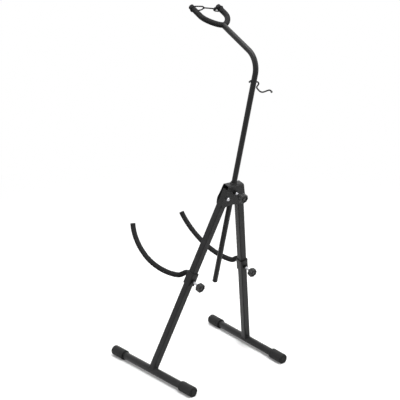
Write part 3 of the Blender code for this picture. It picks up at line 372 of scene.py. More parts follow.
def copy_of(obj):
    start_clean()
    made = obj.copy()
    made.data = obj.data.copy()
    bpy.context.scene.collection.objects.link(made)
    return made


def soften(obj, width, segments=2, degrees=50, outer="MITER_SHARP"):
    """Bevels the edges that turn by more than the angle."""
    apply_modifier(
        obj, "BEVEL", width=width, segments=segments, limit_method="ANGLE",
        angle_limit=math.radians(degrees), miter_outer=outer,
    )


def refined(node, width, segments=2, dissolve=0.6):
    """A merged copy of a CAD node with its sharp edges softened."""
    source = frame["nodes"][node]
    made = bpy.data.objects.new(node + "_shown", source.data.copy())
    bpy.context.scene.collection.objects.link(made)
    edit(made)
    bpy.ops.mesh.remove_doubles(threshold=ONE_PLACE)
    bpy.ops.mesh.customdata_custom_splitnormals_clear()
    bpy.ops.mesh.select_all(action="SELECT")
    bpy.ops.mesh.dissolve_limited(angle_limit=math.radians(dissolve))
    to_object_mode()
    soften(made, width, segments, outer="MITER_ARC")
    smooth_shading(made)
    apply_modifier(made, "WEIGHTED_NORMAL", keep_sharp=True)
    return made


def drawn(profile):
    """Draws a line of (radius, height) vertex by vertex and stays in edit mode."""
    start_clean()
    bpy.ops.mesh.primitive_plane_add(size=0.001)
    obj = bpy.context.object
    bpy.ops.object.mode_set(mode="EDIT")
    bpy.ops.mesh.select_all(action="SELECT")
    bpy.ops.mesh.merge(type="CENTER")
    here = Vector((profile[0][0], 0.0, profile[0][1]))
    bpy.ops.transform.translate(value=here)
    for radius, height in profile[1:]:
        there = Vector((radius, 0.0, height))
        bpy.ops.mesh.extrude_region_move(TRANSFORM_OT_translate={"value": there - here})
        here = there
    return obj


def spun(profile, steps=64):
    """A profile of (radius, height) spun about Z."""
    obj = drawn(profile)
    bpy.ops.mesh.select_all(action="SELECT")
    bpy.ops.mesh.spin(steps=steps, angle=math.tau, center=(0, 0, 0), axis=(0, 0, 1))
    to_object_mode()
    tidy_faces(obj)
    smooth_shading(obj)
    return obj


def rounded_edge(radius, width, low, high, steps=5):
    """Profile points round an edge: they start that width inside the radius, at the high end."""
    return [
        (
            radius - width + width * math.sin(math.pi / 2 * step / steps),
            low + (high - low) * math.cos(math.pi / 2 * step / steps),
        )
        for step in range(steps + 1)
    ]


def cut_away(obj, cutter):
    """Subtracts the cutter from the piece and removes the cutter."""
    apply_modifier(obj, "BOOLEAN", object=cutter, operation="DIFFERENCE", solver="EXACT")
    bpy.data.objects.remove(cutter, do_unlink=True)


def round_cutter(radius, depth, place, sides=64):
    """A cylinder along the place's Z from its origin."""
    start_clean()
    bpy.ops.mesh.primitive_cylinder_add(vertices=sides, radius=radius, depth=depth)
    cutter = bpy.context.object
    return set_down(cutter, place @ Matrix.Translation((0.0, 0.0, depth / 2)))


def bent_tube(points, radius, resolution=10, caps=True):
    """A round tube or rod drawn as a curve along the points and made a mesh."""
    start_clean()
    bpy.ops.curve.primitive_bezier_curve_add()
    obj = bpy.context.object
    data = obj.data
    data.splines.clear()
    data.dimensions = "3D"
    data.bevel_depth = radius
    data.bevel_resolution = resolution
    data.use_fill_caps = caps
    spline = data.splines.new("POLY")
    spline.points.add(len(points) - 1)
    for target, point in zip(spline.points, points):
        target.co = (*point, 1.0)
    bpy.ops.object.convert(target="MESH")
    tidy_faces(obj)
    return obj


def through_beziers(knots, steps):
    """Points along Bezier runs; each knot is (place, handle before, handle after) from the place."""
    points = [Vector(knots[0][0])]
    for (start, _, leave), (end, arrive, _) in zip(knots, knots[1:]):
        a, b = Vector(start), Vector(end)
        points += interpolate_bezier(a, a + Vector(leave), b + Vector(arrive), b, steps + 1)[1:]
    return points


def smooth_through(places, steps):
    """Points on a smooth curve through the places."""
    places = [Vector(place) for place in places]
    knots = []
    for i, place in enumerate(places):
        before = places[max(i - 1, 0)]
        after = places[min(i + 1, len(places) - 1)]
        run = (after - before).normalized()
        knots.append((
            place, -run * (place - before).length / 3, run * (after - place).length / 3,
        ))
    return through_beziers(knots, steps)


def arc(centre, radius, start, end, steps):
    turns = [start + (end - start) * i / steps for i in range(steps + 1)]
    return [(centre[0] + radius * math.cos(a), centre[1] + radius * math.sin(a)) for a in turns]


class Route:
    """A line through points, read by the length along it."""

    def __init__(self, points):
        self.points = [points[0]]
        for point in points[1:]:
            if (point - self.points[-1]).length > 0.00001:
                self.points.append(point)
        self.at_point = [0.0]
        for a, b in zip(self.points, self.points[1:]):
            self.at_point.append(self.at_point[-1] + (b - a).length)
        self.length = self.at_point[-1]
        runs = [(b - a).normalized() for a, b in zip(self.points, self.points[1:])]
        self.runs = [runs[0]]
        self.runs += [(a + b).normalized() for a, b in zip(runs, runs[1:])]
        self.runs.append(runs[-1])

    def at(self, travelled):
        """The place and the direction at a length along the route."""
        travelled = min(max(travelled, 0.0), self.length)
        i = 0
        while i < len(self.points) - 2 and self.at_point[i + 1] < travelled:
            i += 1
        share = (travelled - self.at_point[i]) / (self.at_point[i + 1] - self.at_point[i])
        place = self.points[i].lerp(self.points[i + 1], share)
        return place, self.runs[i].lerp(self.runs[i + 1], share).normalized()

    def bend_at(self, travelled, reach=0.004):
        """How sharply the route bends, as one over the radius, and towards which side."""
        before = self.at(travelled - reach)[1]
        after = self.at(travelled + reach)[1]
        turn = after - before
        return turn.length / (2 * reach), turn.normalized() if turn.length > 1e-6 else None


def ringed_body(name, rings, closed=True):
    """A smooth body of rings of points, its ends capped unless the rings run round to the first."""
    mesh = bpy.data.meshes.new(name)
    work = bmesh.new()
    made = [[work.verts.new(point) for point in ring] for ring in rings]
    pairs = list(zip(made, made[1:]))
    if closed:
        pairs.append((made[-1], made[0]))
    count = len(made[0])
    for a, b in pairs:
        for i in range(count):
            j = (i + 1) % count
            work.faces.new((a[i], a[j], b[j], b[i]))
    if not closed:
        work.faces.new(list(reversed(made[0])))
        work.faces.new(made[-1])
    bmesh.ops.recalc_face_normals(work, faces=work.faces)
    work.to_mesh(mesh)
    work.free()
    mesh.polygons.foreach_set("use_smooth", [True] * len(mesh.polygons))
    obj = bpy.data.objects.new(name, mesh)
    bpy.context.scene.collection.objects.link(obj)
    return obj


def ring_at(centre, run, normal, radius_at, count):
    """A ring of points round a route, its first along the normal; radius_at gives each one's radius."""
    side = normal.cross(run).normalized()
    ring = []
    for i in range(count):
        angle = math.tau * i / count
        out = normal * math.cos(angle) + side * math.sin(angle)
        ring.append(centre + out * radius_at(out))
    return ring


def braid_map(obj, rings, sides, rise, closed=True):
    """A cord's own UV map: 0 to 1 round the cord, and up by the rise from ring to ring."""
    layer = obj.data.uv_layers.new(name="braid")
    for polygon in obj.data.polygons:
        places = [(v // sides, v % sides) for v in polygon.vertices]
        last_ring = max(row for row, _ in places) == rings - 1
        last_side = max(column for _, column in places) == sides - 1
        for loop, (row, column) in zip(polygon.loop_indices, places):
            if len(polygon.vertices) > 4:
                layer.data[loop].uv = (0.5, 0.5)
                continue
            if closed and last_ring and row == 0:
                row = rings
            if last_side and column == 0:
                column = sides
            layer.data[loop].uv = (column / sides, row * rise)


def cord_body(name, points, normal, diameter, closed=False, sides=20):
    """A cord swept along the points, with its braid's map in diameters of the cord."""
    route = Route(points)
    count = max(2, int(route.length / (diameter / 5)))
    lengths = [route.length * i / count for i in range(count if closed else count + 1)]
    rings = []
    for travelled in lengths:
        centre, run = route.at(travelled)
        rings.append(ring_at(centre, run, normal, lambda out: diameter / 2, sides))
    obj = ringed_body(name, rings, closed)
    braid_map(obj, len(rings), sides, route.length / count / diameter, closed)
    return obj


def pressed(centre, out, radius, cords, clear):
    """The radius left where cords press into a pad, on the ray out from its middle line."""
    for points in cords:
        for point in points:
            offset = point - centre
            along = offset.dot(out)
            aside = offset.length_squared - along * along
            if along > 0.0 and aside < clear * clear:
                radius = min(radius, along - math.sqrt(clear * clear - aside))
    return radius


def foam_stations(route, sizes, cords, step):
    """A foam tube's rings, as (length along it, radius): out, round the cut, back inside."""
    outer = sizes.foam / 2
    bore = sizes.rod / 2 + sizes.gap
    corner = sizes.foam_corner
    end = route.length
    near = [point for cord in cords for point in cord]
    spans = max(2, int((end - 2 * corner) / step))
    stations = []
    for i in range(spans + 1):
        travelled = corner + (end - 2 * corner) * i / spans
        stations.append((travelled, outer))
        place = route.at(travelled + step / 2)[0]
        if i < spans and any((point - place).length < outer + 2 * sizes.cord for point in near):
            stations += [(travelled + step * share, outer) for share in (0.25, 0.5, 0.75)]
    turns = [math.pi / 8 * i for i in range(5)]
    rounding = [(corner * math.sin(a), corner * math.cos(a)) for a in turns]
    far = end - corner
    stations += [(far + rise, outer - corner + fall) for rise, fall in rounding[1:]]
    stations += [(far + fall, bore + corner - rise) for rise, fall in rounding]
    inside = max(2, int((end - 2 * corner) / (step * 3)))
    stations += [(corner + (end - 2 * corner) * (1 - i / inside), bore) for i in range(1, inside)]
    stations += [(corner - rise, bore + corner - fall) for rise, fall in rounding]
    stations += [(corner - fall, outer - corner + rise) for rise, fall in rounding[:-1]]
    return stations


def foam_tube(name, points, normal, sizes, cords=(), step=0.0016, sides=40):
    """A foam tube on a bent rod: cut ends, an uneven skin, creases inside the bends, pressed cords."""
    route = Route(points)
    skin = sizes.foam / 2 - sizes.foam_corner
    cord_clear = sizes.cord / 2 + sizes.gap
    rings = []
    for travelled, base in foam_stations(route, sizes, cords, step):
        centre, run = route.at(travelled)
        sharp, inward = route.bend_at(travelled)
        fold = 0.5 + 0.5 * math.sin(math.tau * travelled / sizes.foam_crease_pitch)
        crease = min(1.0, sharp * 0.02) * fold

        def radius_at(out):
            if base < skin:
                return base
            place = centre + out * base
            wave = noise.noise(place * 55.0) * 0.65 + noise.noise(place * 210.0) * 0.35
            radius = base + sizes.foam_wave * (wave - 0.5)
            if inward is not None:
                radius -= max(0.0, out.dot(inward)) ** 2 * crease * sizes.foam_crease
            return pressed(centre, out, radius, cords, cord_clear)

        rings.append(ring_at(centre, run, normal, radius_at, sides))
    obj = ringed_body(name, rings)
    smooth_shading(obj, 50)
    return obj


def weld_bead(name, points, radius, ripple):
    """A bead round a closed seam, with the ripples that the torch leaves."""
    route = Route(points + [points[0]])
    middle = sum(points, Vector()) / len(points)
    flat = (points[1] - points[0]).cross(points[len(points) // 4] - points[0]).normalized()
    count = max(24, int(route.length / (ripple / 5)))
    rings = []
    for i in range(count):
        travelled = route.length * i / count
        centre, run = route.at(travelled)
        out = (centre - middle).normalized()
        swell = 1.0 + 0.14 * math.sin(math.tau * round(route.length / ripple) * i / count)
        swell += 0.12 * noise.noise(out * 3.0)
        normal = flat - run * flat.dot(run)
        rings.append(ring_at(centre, run, normal.normalized(), lambda out: radius * swell, 12))
    return ringed_body(name, rings)


# Materials


class Value:
    """A number inside a material, so that its maths reads as plain arithmetic."""

    def __init__(self, nodes, socket):
        self.nodes = nodes
        self.socket = socket

    def _with(self, operation, *others):
        node = self.nodes.new("ShaderNodeMath", {"operation": operation}, {})
        for slot, item in zip(node.inputs, (self, *others)):
            self.nodes.feed(slot, item)
        return Value(self.nodes, node.outputs[0])

    def _from(self, operation, other):
        node = self.nodes.new("ShaderNodeMath", {"operation": operation}, {})
        self.nodes.feed(node.inputs[0], other)
        self.nodes.feed(node.inputs[1], self)
        return Value(self.nodes, node.outputs[0])

    def __add__(self, other):
        return self._with("ADD", other)

    def __radd__(self, other):
        return self._from("ADD", other)

    def __sub__(self, other):
        return self._with("SUBTRACT", other)

    def __rsub__(self, other):
        return self._from("SUBTRACT", other)

    def __mul__(self, other):
        return self._with("MULTIPLY", other)

    def sine(self):
        return self._with("SINE")

    def largest(self, other):
        return self._with("MAXIMUM", other)

    def between(self, low, high):
        """0 at low, 1 at high, clamped and eased."""
        node = self.nodes.new("ShaderNodeMapRange", {"interpolation_type": "SMOOTHSTEP"}, {
            "Value": self, "From Min": low, "From Max": high,
        })
        return Value(self.nodes, node.outputs[0])


class NodeMaker:
    """Adds nodes to a material or a world: type, then settings, then the values or links of its sockets."""

    def __init__(self, owner):
        owner.use_nodes = True
        self.owner = owner
        self.tree = owner.node_tree
        self.tree.nodes.clear()

    def feed(self, slot, item):
        if isinstance(item, Value):
            item = item.socket
        if isinstance(item, bpy.types.NodeSocket):
            self.tree.links.new(item, slot)
        else:
            slot.default_value = item

    def new(self, kind, settings, sockets):
        node = self.tree.nodes.new(kind)
        for key, value in settings.items():
            setattr(node, key, value)
        for key, value in sockets.items():
            self.feed(node.inputs[key], value)
        return node

    def seen(self):
        """1 for what the camera sees, straight, mirrored or through glass."""
        path = self.new("ShaderNodeLightPath", {}, {})
        straight, mirrored, through = (
            Value(self, path.outputs[name])
            for name in ("Is Camera Ray", "Is Glossy Ray", "Is Transmission Ray")
        )
        return straight.largest(mirrored).largest(through)


class Finish(NodeMaker):
    """A material in the making."""

    def __init__(self, name):
        super().__init__(bpy.data.materials.new(name))
        self.output = self.new("ShaderNodeOutputMaterial", {}, {})
        self.place = self.new("ShaderNodeTexCoord", {}, {}).outputs["Object"]

    def noise(self, scale, detail=2.0, roughness=0.5):
        node = self.new("ShaderNodeTexNoise", {}, {
            "Vector": self.place, "Scale": scale, "Detail": detail, "Roughness": roughness,
        })
        return Value(self, node.outputs["Fac"])

    def cells(self, scale):
        node = self.new("ShaderNodeTexVoronoi", {"feature": "F1"}, {"Vector": self.place, "Scale": scale})
        return Value(self, node.outputs["Distance"])

    def axis(self, name, vector=None):
        node = self.new("ShaderNodeSeparateXYZ", {}, {"Vector": vector or self.place})
        return Value(self, node.outputs[name])

    def mix(self, share, first, second):
        node = self.new("ShaderNodeMix", {"data_type": "RGBA"}, {})
        self.feed(node.inputs["Factor"], share)
        self.feed(node.inputs[6], first if isinstance(first, bpy.types.NodeSocket) else (*first, 1.0))
        self.feed(node.inputs[7], (*second, 1.0))
        return node.outputs[2]

    def bump(self, height, strength, distance, below=None):
        sockets = {"Height": height, "Strength": strength, "Distance": distance}
        if below is not None:
            sockets["Normal"] = below
        return self.new("ShaderNodeBump", {}, sockets).outputs["Normal"]

    def surface(self, **sockets):
        names = {key.replace("_", " ").title().replace("Ior", "IOR"): item for key, item in sockets.items()}
        shader = self.new("ShaderNodeBsdfPrincipled", {}, names)
        self.tree.links.new(shader.outputs[0], self.output.inputs["Surface"])
        return self.owner


def powder_coat(colours):
    """Satin black powder coat: orange peel, a fine sparkle, dull rubbed patches."""
    finish = Finish("powder_coat")
    peel = finish.noise(620.0, 2.0, 0.45)
    grain = finish.noise(2600.0, 1.0)
    cloud = finish.noise(34.0, 3.0, 0.6).between(0.35, 0.70)
    rub = finish.noise(90.0, 4.0, 0.65).between(0.56, 0.74)
    base = finish.mix(cloud * 0.45 + rub * 0.35 + grain * 0.20, colours.powder, colours.powder_worn)
    bump = finish.bump(peel, 0.32, 0.00035)
    bump = finish.bump(grain, 0.18, 0.00008, bump)
    return finish.surface(
        base_color=base, roughness=0.36 + cloud * 0.08 + rub * 0.06 - grain * 0.05, normal=bump,
        specular_ior_level=0.14,
    )


def foam_skin(colours):
    """Matt black foam: open cells, a mottled skin."""
    finish = Finish("foam_skin")
    pores = finish.cells(1500.0).between(0.10, 0.62)
    big_pores = finish.cells(520.0).between(0.05, 0.40)
    mottle = finish.noise(120.0, 4.0, 0.6).between(0.35, 0.70)
    base = finish.mix(mottle * 0.55 + pores * 0.30, colours.foam, colours.foam_pale)
    bump = finish.bump(pores, 0.50, 0.00012)
    bump = finish.bump(big_pores, 0.22, 0.00016, bump)
    bump = finish.bump(finish.noise(260.0, 3.0), 0.20, 0.0004, bump)
    return finish.surface(
        base_color=base, roughness=0.82 + mottle * 0.12, normal=bump, specular_ior_level=0.05,
    )


def foot_rubber(colours):
    """Moulded black rubber with a faint bloom and dust near the floor."""
    finish = Finish("foot_rubber")
    height = finish.axis("Z")
    speckle = finish.noise(700.0, 3.0, 0.6)
    bloom = finish.noise(85.0, 3.0, 0.6).between(0.42, 0.75)
    dust = (1.0 - height.between(0.0005, 0.0085)) * speckle.between(0.40, 0.70)
    base = finish.mix(dust * 0.55 + bloom * 0.12, colours.rubber, colours.dust)
    bump = finish.bump(speckle, 0.30, 0.00018)
    return finish.surface(
        base_color=base, roughness=0.52 + bloom * 0.10 + dust * 0.15, normal=bump,
        specular_ior_level=0.12,
    )


def moulded_plastic(colours):
    """Black plastic with the fine spark-eroded grain of its mould."""
    finish = Finish("moulded_plastic")
    grain = finish.cells(1700.0).between(0.05, 0.65)
    haze = finish.noise(60.0, 3.0, 0.55).between(0.40, 0.72)
    base = finish.mix(haze * 0.30 + grain * 0.12, colours.plastic, colours.powder_worn)
    bump = finish.bump(grain, 0.20, 0.00008)
    return finish.surface(
        base_color=base, roughness=0.32 + haze * 0.12, normal=bump, specular_ior_level=0.30,
    )


def bright_zinc(colours):
    """Bright zinc plate: drawn lines, faint tarnish."""
    finish = Finish("bright_zinc")
    tarnish = finish.noise(240.0, 4.0, 0.65).between(0.42, 0.74)
    fine = finish.noise(1900.0, 2.0)
    base = finish.mix(tarnish * 0.55, colours.zinc, colours.zinc_dull)
    bump = finish.bump(fine, 0.16, 0.00005)
    return finish.surface(
        base_color=base, metallic=1.0, roughness=0.30 + tarnish * 0.16 + fine * 0.05, normal=bump,
    )


def black_oxide(colours):
    """Blackened steel with brown lights where it is handled."""
    finish = Finish("black_oxide")
    wear = finish.noise(420.0, 4.0, 0.65).between(0.48, 0.76)
    fine = finish.noise(2100.0, 2.0)
    base = finish.mix(wear * 0.40, colours.oxide, colours.oxide_worn)
    bump = finish.bump(fine, 0.20, 0.00006)
    return finish.surface(base_color=base, metallic=0.85, roughness=0.36 + fine * 0.10, normal=bump)


def braided_cord(colours):
    """A braided sleeve on the piece's own UV map: crossing strands of fine yarn."""
    finish = Finish("braided_cord")
    uv = finish.new("ShaderNodeUVMap", {"uv_map": "braid"}, {}).outputs["UV"]
    around = finish.axis("X", uv) * (math.tau * 6)
    along = finish.axis("Y", uv) * (math.tau * 2.0)
    over = (around + along).sine()
    under = (around - along).sine()
    strands = over.largest(under) * 0.5 + 0.5
    yarn = (around * 6.0 + along * 2.0).sine() * 0.5 + 0.5
    base = finish.mix(strands * 0.60 + yarn * 0.20, colours.cord, colours.cord_pale)
    bump = finish.bump(strands, 0.75, 0.00030)
    bump = finish.bump(yarn, 0.25, 0.00006, bump)
    return finish.surface(
        base_color=base, roughness=0.72 + yarn * 0.12, normal=bump, specular_ior_level=0.12,
    )


def plain_floor(colours):
    """A pale, dry floor that keeps a soft shadow and goes over into the white of the backdrop."""
    finish = Finish("plain_floor")
    speckle = finish.noise(8.0, 3.0)
    base = finish.mix(speckle * 0.05, colours.floor, colours.floor_speckle)
    base = finish.mix(1.0 - finish.seen(), base, colours.floor_bounce)
    ground = finish.new("ShaderNodeBsdfPrincipled", {}, {
        "Base Color": base, "Roughness": 0.9, "Specular IOR Level": 0.0,
    })
    white = finish.new("ShaderNodeEmission", {}, {"Color": WHITE, "Strength": 1.0})
    reach = finish.new("ShaderNodeVectorMath", {"operation": "LENGTH"}, {0: finish.place})
    share = Value(finish, reach.outputs["Value"]).between(0.5, 2.2) * finish.seen()
    mixed = finish.new("ShaderNodeMixShader", {}, {0: share, 1: ground.outputs[0], 2: white.outputs[0]})
    finish.tree.links.new(mixed.outputs[0], finish.output.inputs["Surface"])
    return finish.owner


FINISHES = {
    "coated_steel": powder_coat,
    "foam": foam_skin,
    "rubber": foot_rubber,
    "plastic": moulded_plastic,
    "zinc": bright_zinc,
    "black_steel": black_oxide,
    "cord": braided_cord,
    "floor": plain_floor,
}


def finish_of(slot):
    """The finish of a slot, made once."""
    made = bpy.context.scene.get("finish_" + slot)
    if made is None:
        made = FINISHES[slot](bpy.context.scene.stand_colours).name
        bpy.context.scene["finish_" + slot] = made
    return bpy.data.materials[made]


def dress(obj, name, body, slot, *nodes):
    return finish_piece(obj, name, body, slot, finish_of(slot), *nodes)


def dress_node(node, name, body, slot, width, segments=2):
    """Shows a CAD node as itself, with its edges softened."""
    return dress(refined(node, width, segments), name, body, slot, node)


# Operators, one for each piece or group of like pieces


class MakeLegs(bpy.types.Operator):
    """The square legs, their top plugs, the round foot bars and the weld between them"""

    bl_idname = "stand.make_legs"
    bl_label = "Legs and foot bars"

    def execute(self, context):
        sizes = context.scene.stand_sizes
        for side in SIDES:
            body = side + "_leg"
            dress_node(side + "_leg_tube", side + "_leg", body, "coated_steel", sizes.edge / 2)
            dress_node(side + "_leg_top_plug", side + "_leg_plug", body, "plastic", sizes.edge)
            self.bar(side, sizes)
            self.weld(side, sizes)
        return {"FINISHED"}

    def bar(self, side, sizes):
        """A round tube: a cylinder whose ends are inset and pushed in, its rims softened."""
        bar_length = sizes.foot_length - 2 * (sizes.cap_end + sizes.gap)
        start_clean()
        bpy.ops.mesh.primitive_cylinder_add(vertices=64, radius=sizes.bar_diameter / 2, depth=bar_length)
        bar = bpy.context.object
        for end in (-1, 1):
            edit(bar)
            bpy.ops.mesh.select_all(action="DESELECT")
            to_object_mode()
            for polygon in bar.data.polygons:
                polygon.select = polygon.normal.z * end > 0.9 and polygon.center.z * end > 0
            bpy.ops.object.mode_set(mode="EDIT")
            bpy.ops.mesh.inset(thickness=sizes.bar_wall)
            inwards = (0, 0, -end * sizes.cap_length)
            bpy.ops.mesh.extrude_region_move(TRANSFORM_OT_translate={"value": inwards})
            to_object_mode()
        soften(bar, sizes.edge)
        tidy_faces(bar)
        smooth_shading(bar)
        set_down(bar, foot_place(side, sizes.bar_height) @ ALONG_Y)
        dress(bar, side + "_foot_bar_tube", side + "_leg", "coated_steel", side + "_foot_bar")

    def weld(self, side, sizes):
        """A bead where the coped leg sits on the bar."""
        leg = leg_place(side, "_leg_fold")
        foot = foot_place(side, sizes.bar_height)
        along = foot.to_3x3() @ Vector((0.0, 1.0, 0.0))
        down = leg.to_3x3() @ Vector((0.0, 0.0, -1.0))
        half = sizes.leg_side / 2 + sizes.bead * 0.25
        corner = half * 0.30
        corners = []
        for turn, (sx, sy) in enumerate(((1, 1), (-1, 1), (-1, -1), (1, -1))):
            centre = (sx * (half - corner), sy * (half - corner))
            start = math.pi / 2 * turn
            corners.append(arc(centre, corner, start, start + math.pi / 2, 4))
        outline = []
        for here, following in zip(corners, corners[1:] + corners[:1]):
            end, ahead = Vector(here[-1]), Vector(following[0])
            outline += here + [tuple(end.lerp(ahead, i / 8)) for i in range(1, 8)]
        radius = sizes.bar_diameter / 2 + sizes.bead * 0.2
        points = []
        for x, y in outline:
            start = leg @ Vector((x, y, 0.0))
            offset = start - foot.translation
            offset -= along * offset.dot(along)
            run = down - along * down.dot(along)
            half_b = offset.dot(run)
            spread = half_b ** 2 - run.length_squared * (offset.length_squared - radius ** 2)
            travel = (-half_b - math.sqrt(max(spread, 0.0))) / run.length_squared
            points.append(start + down * travel)
        bead = weld_bead(side + "_leg_weld", points, sizes.bead, sizes.ripple)
        dress(bead, side + "_leg_weld", side + "_leg", "coated_steel")


class MakeFeet(bpy.types.Operator):
    """The four rubber caps, each worn flat where it rests"""

    bl_idname = "stand.make_feet"
    bl_label = "Foot caps"

    def execute(self, context):
        sizes = context.scene.stand_sizes
        radius = sizes.cap_diameter / 2
        bore = sizes.bar_diameter / 2 + sizes.gap
        ring, groove = sizes.cap_ring, sizes.cap_ring_width / 2
        top = sizes.cap_length
        profile = [(0.0, top - sizes.edge / 2), (ring * 0.5, top)]
        for aside, depth in ((-1.0, 0.0), (-0.6, 0.85), (0.0, 1.0), (0.6, 0.85), (1.0, 0.0)):
            profile.append((ring + groove * aside, top - sizes.cap_ring_depth * depth))
        profile += rounded_edge(radius, sizes.cap_edge, top - sizes.cap_edge, top, 7)
        for place in CAP_RINGS:
            profile += [
                (radius, place + sizes.cap_rib_mouth),
                (radius - sizes.cap_rib, place + sizes.cap_rib_floor),
                (radius - sizes.cap_rib, place - sizes.cap_rib_floor),
                (radius, place - sizes.cap_rib_mouth),
            ]
        profile += reversed(rounded_edge(radius, sizes.cap_lip, sizes.cap_lip_length, 0.0, 5))
        profile += [
            (bore + sizes.cap_mouth, sizes.gap),
            (bore + sizes.cap_mouth * 0.9, sizes.cap_hollow - 0.0015),
            (bore, sizes.cap_hollow),
            (bore, top - sizes.cap_end),
            (0.0, top - sizes.cap_end),
        ]
        pattern = spun(profile, 80)
        for side in SIDES:
            foot = foot_place(side, sizes.bar_height)
            for end, sign in (("front", -1), ("rear", 1)):
                cap = copy_of(pattern)
                shift = Matrix.Translation((0.0, sign * (sizes.foot_length / 2 - sizes.cap_length), 0.0))
                set_down(cap, foot @ shift @ Matrix.Rotation(-sign * math.pi / 2, 4, "X"))
                self.wear_flat(cap)
                name = side + "_foot_cap_" + end
                dress(cap, name + "_rubber", side + "_leg", "rubber", name)
        bpy.data.objects.remove(pattern, do_unlink=True)
        return {"FINISHED"}

    def wear_flat(self, cap):
        """Cuts off what would be under the floor."""
        edit(cap)
        bpy.ops.mesh.bisect(plane_co=(0, 0, 0), plane_no=(0, 0, 1), use_fill=True, clear_inner=True)
        to_object_mode()
        smooth_shading(cap, 40)


class MakeHub(bpy.types.Operator):
    """The folded saddle bracket, the bush, the pivot bolts and their dome nuts"""

    bl_idname = "stand.make_hub"
    bl_label = "Hub"

    def execute(self, context):
        sizes = context.scene.stand_sizes
        dress_node("hub_bracket", "saddle_bracket", "hub", "coated_steel", sizes.edge)
        dress_node("post_bush", "bush", "hub", "plastic", sizes.edge / 2, 1)
        pattern = self.button_head(sizes)
        hub = hub_place()
        for side, sign in (("right", 1), ("left", -1)):
            bolt = copy_of(pattern)
            set_down(bolt, hub @ Matrix.Translation((sign * sizes.pivot_offset, 0.0, 0.0)) @ ALONG_Y)
            dress(bolt, side + "_button_bolt", "hub", "zinc", side + "_pivot_bolt")
            dress_node(side + "_pivot_nut", side + "_dome_nut", "hub", "zinc", sizes.edge * 0.75)
        bpy.data.objects.remove(pattern, do_unlink=True)
        return {"FINISHED"}

    def button_head(self, sizes):
        """A spun button head on its shank, with a hexagon socket."""
        seat = -sizes.hub_half - sizes.gap
        crown = seat - sizes.bolt_height
        end = sizes.hub_half + sizes.bolt_end
        soft = sizes.edge
        shank = sizes.bolt / 2
        head = rounded_edge(
            sizes.bolt_head / 2, (sizes.bolt_head - sizes.bolt_flat) / 2, seat - soft, crown, 8
        )
        profile = [(0.0, end), (shank - soft, end), (shank, end - soft)]
        profile += [(shank, seat), (sizes.bolt_head / 2 - soft * 0.75, seat)]
        profile += list(reversed(head)) + [(0.0, crown)]
        bolt = spun(profile, 48)
        depth = sizes.bolt_height * 0.6
        socket = round_cutter(
            sizes.bolt_socket / math.sqrt(3), depth * 2, Matrix.Translation((0.0, 0.0, crown - depth)), 6
        )
        cut_away(bolt, socket)
        smooth_shading(bolt)
        return bolt


class MakePost(bpy.types.Operator):
    """The bent post, cut round the yoke rod, and its end plug"""

    bl_idname = "stand.make_post"
    bl_label = "Post"

    def execute(self, context):
        sizes = context.scene.stand_sizes
        hub = hub_place()
        yoke = yoke_place(sizes)
        reach = yoke.to_3x3() @ Vector((0.0, -1.0, 0.0))
        up = hub.to_3x3() @ Vector((0.0, 0.0, 1.0))
        bend = up.angle(reach)
        tangent = sizes.post_bend_radius * math.tan(bend / 2)
        points = [Vector((0.0, 0.0, -sizes.post_drop)), Vector((0.0, 0.0, -sizes.post_drop / 2))]
        centre = (-sizes.post_bend_radius, sizes.post_rise - tangent)
        points += [Vector((0.0, y, z)) for y, z in arc(centre, sizes.post_bend_radius, 0.0, bend, 32)]
        run = sizes.post_reach - sizes.rod / 4
        points.append(Vector((0.0, -run * math.sin(bend), sizes.post_rise + run * math.cos(bend))))
        tube = bent_tube(points, sizes.post_diameter / 2, 22)
        set_down(tube, hub)
        mouth = round_cutter(
            sizes.rod / 2 + sizes.gap, sizes.post_diameter * 2,
            yoke @ Matrix.Translation((-sizes.post_diameter, 0.0, 0.0)) @ ALONG_X,
        )
        cut_away(tube, mouth)
        soften(tube, sizes.edge, degrees=60)
        smooth_shading(tube)
        dress(tube, "post", "post", "coated_steel", "post_tube")
        dress_node("post_end_plug", "end_plug", "post_carrier", "plastic", sizes.edge / 2)
        return {"FINISHED"}


class MakeSleeves(bpy.types.Operator):
    """The folded sleeves on the legs, the bent rods and their welds"""

    bl_idname = "stand.make_sleeves"
    bl_label = "Sleeves and arm rods"

    def execute(self, context):
        sizes = context.scene.stand_sizes
        for side in SIDES:
            body = side + "_arm"
            place = leg_place(side, "_arm_clamp_turn")
            dress_node(side + "_arm_sleeve", side + "_sleeve", body, "coated_steel", sizes.edge)
            route = Route(arm_points())
            points = [route.at(route.length * i / 90)[0] for i in range(91)]
            points = [p for p in points if (p - route.points[-1]).length > sizes.foam_lip]
            rod = bent_tube([place @ p for p in points], sizes.rod / 2, 10)
            smooth_shading(rod)
            dress(rod, side + "_bent_rod", body, "coated_steel", side + "_arm_rod")
            seam = [
                place @ Vector((x, -sizes.sleeve_front - sizes.gap, ARM_WELD[1] + z))
                for x, z in arc((0.0, 0.0), sizes.rod / 2 + sizes.bead * 0.3, 0.0, math.tau * 47 / 48, 47)
            ]
            bead = weld_bead(side + "_arm_weld", seam, sizes.bead * 0.85, sizes.ripple)
            dress(bead, side + "_arm_weld", body, "coated_steel")
        return {"FINISHED"}


def arm_points():
    """The arm rod's middle line in the sleeve's frame, from its weld to the foam's end."""
    knots = [
        tuple(Vector((0.0, -forward, up)) for forward, up in knot) for knot in ARM_KNOTS
    ]
    return [Vector((0.0, -ARM_WELD[0], ARM_WELD[1]))] + through_beziers(knots, 28)


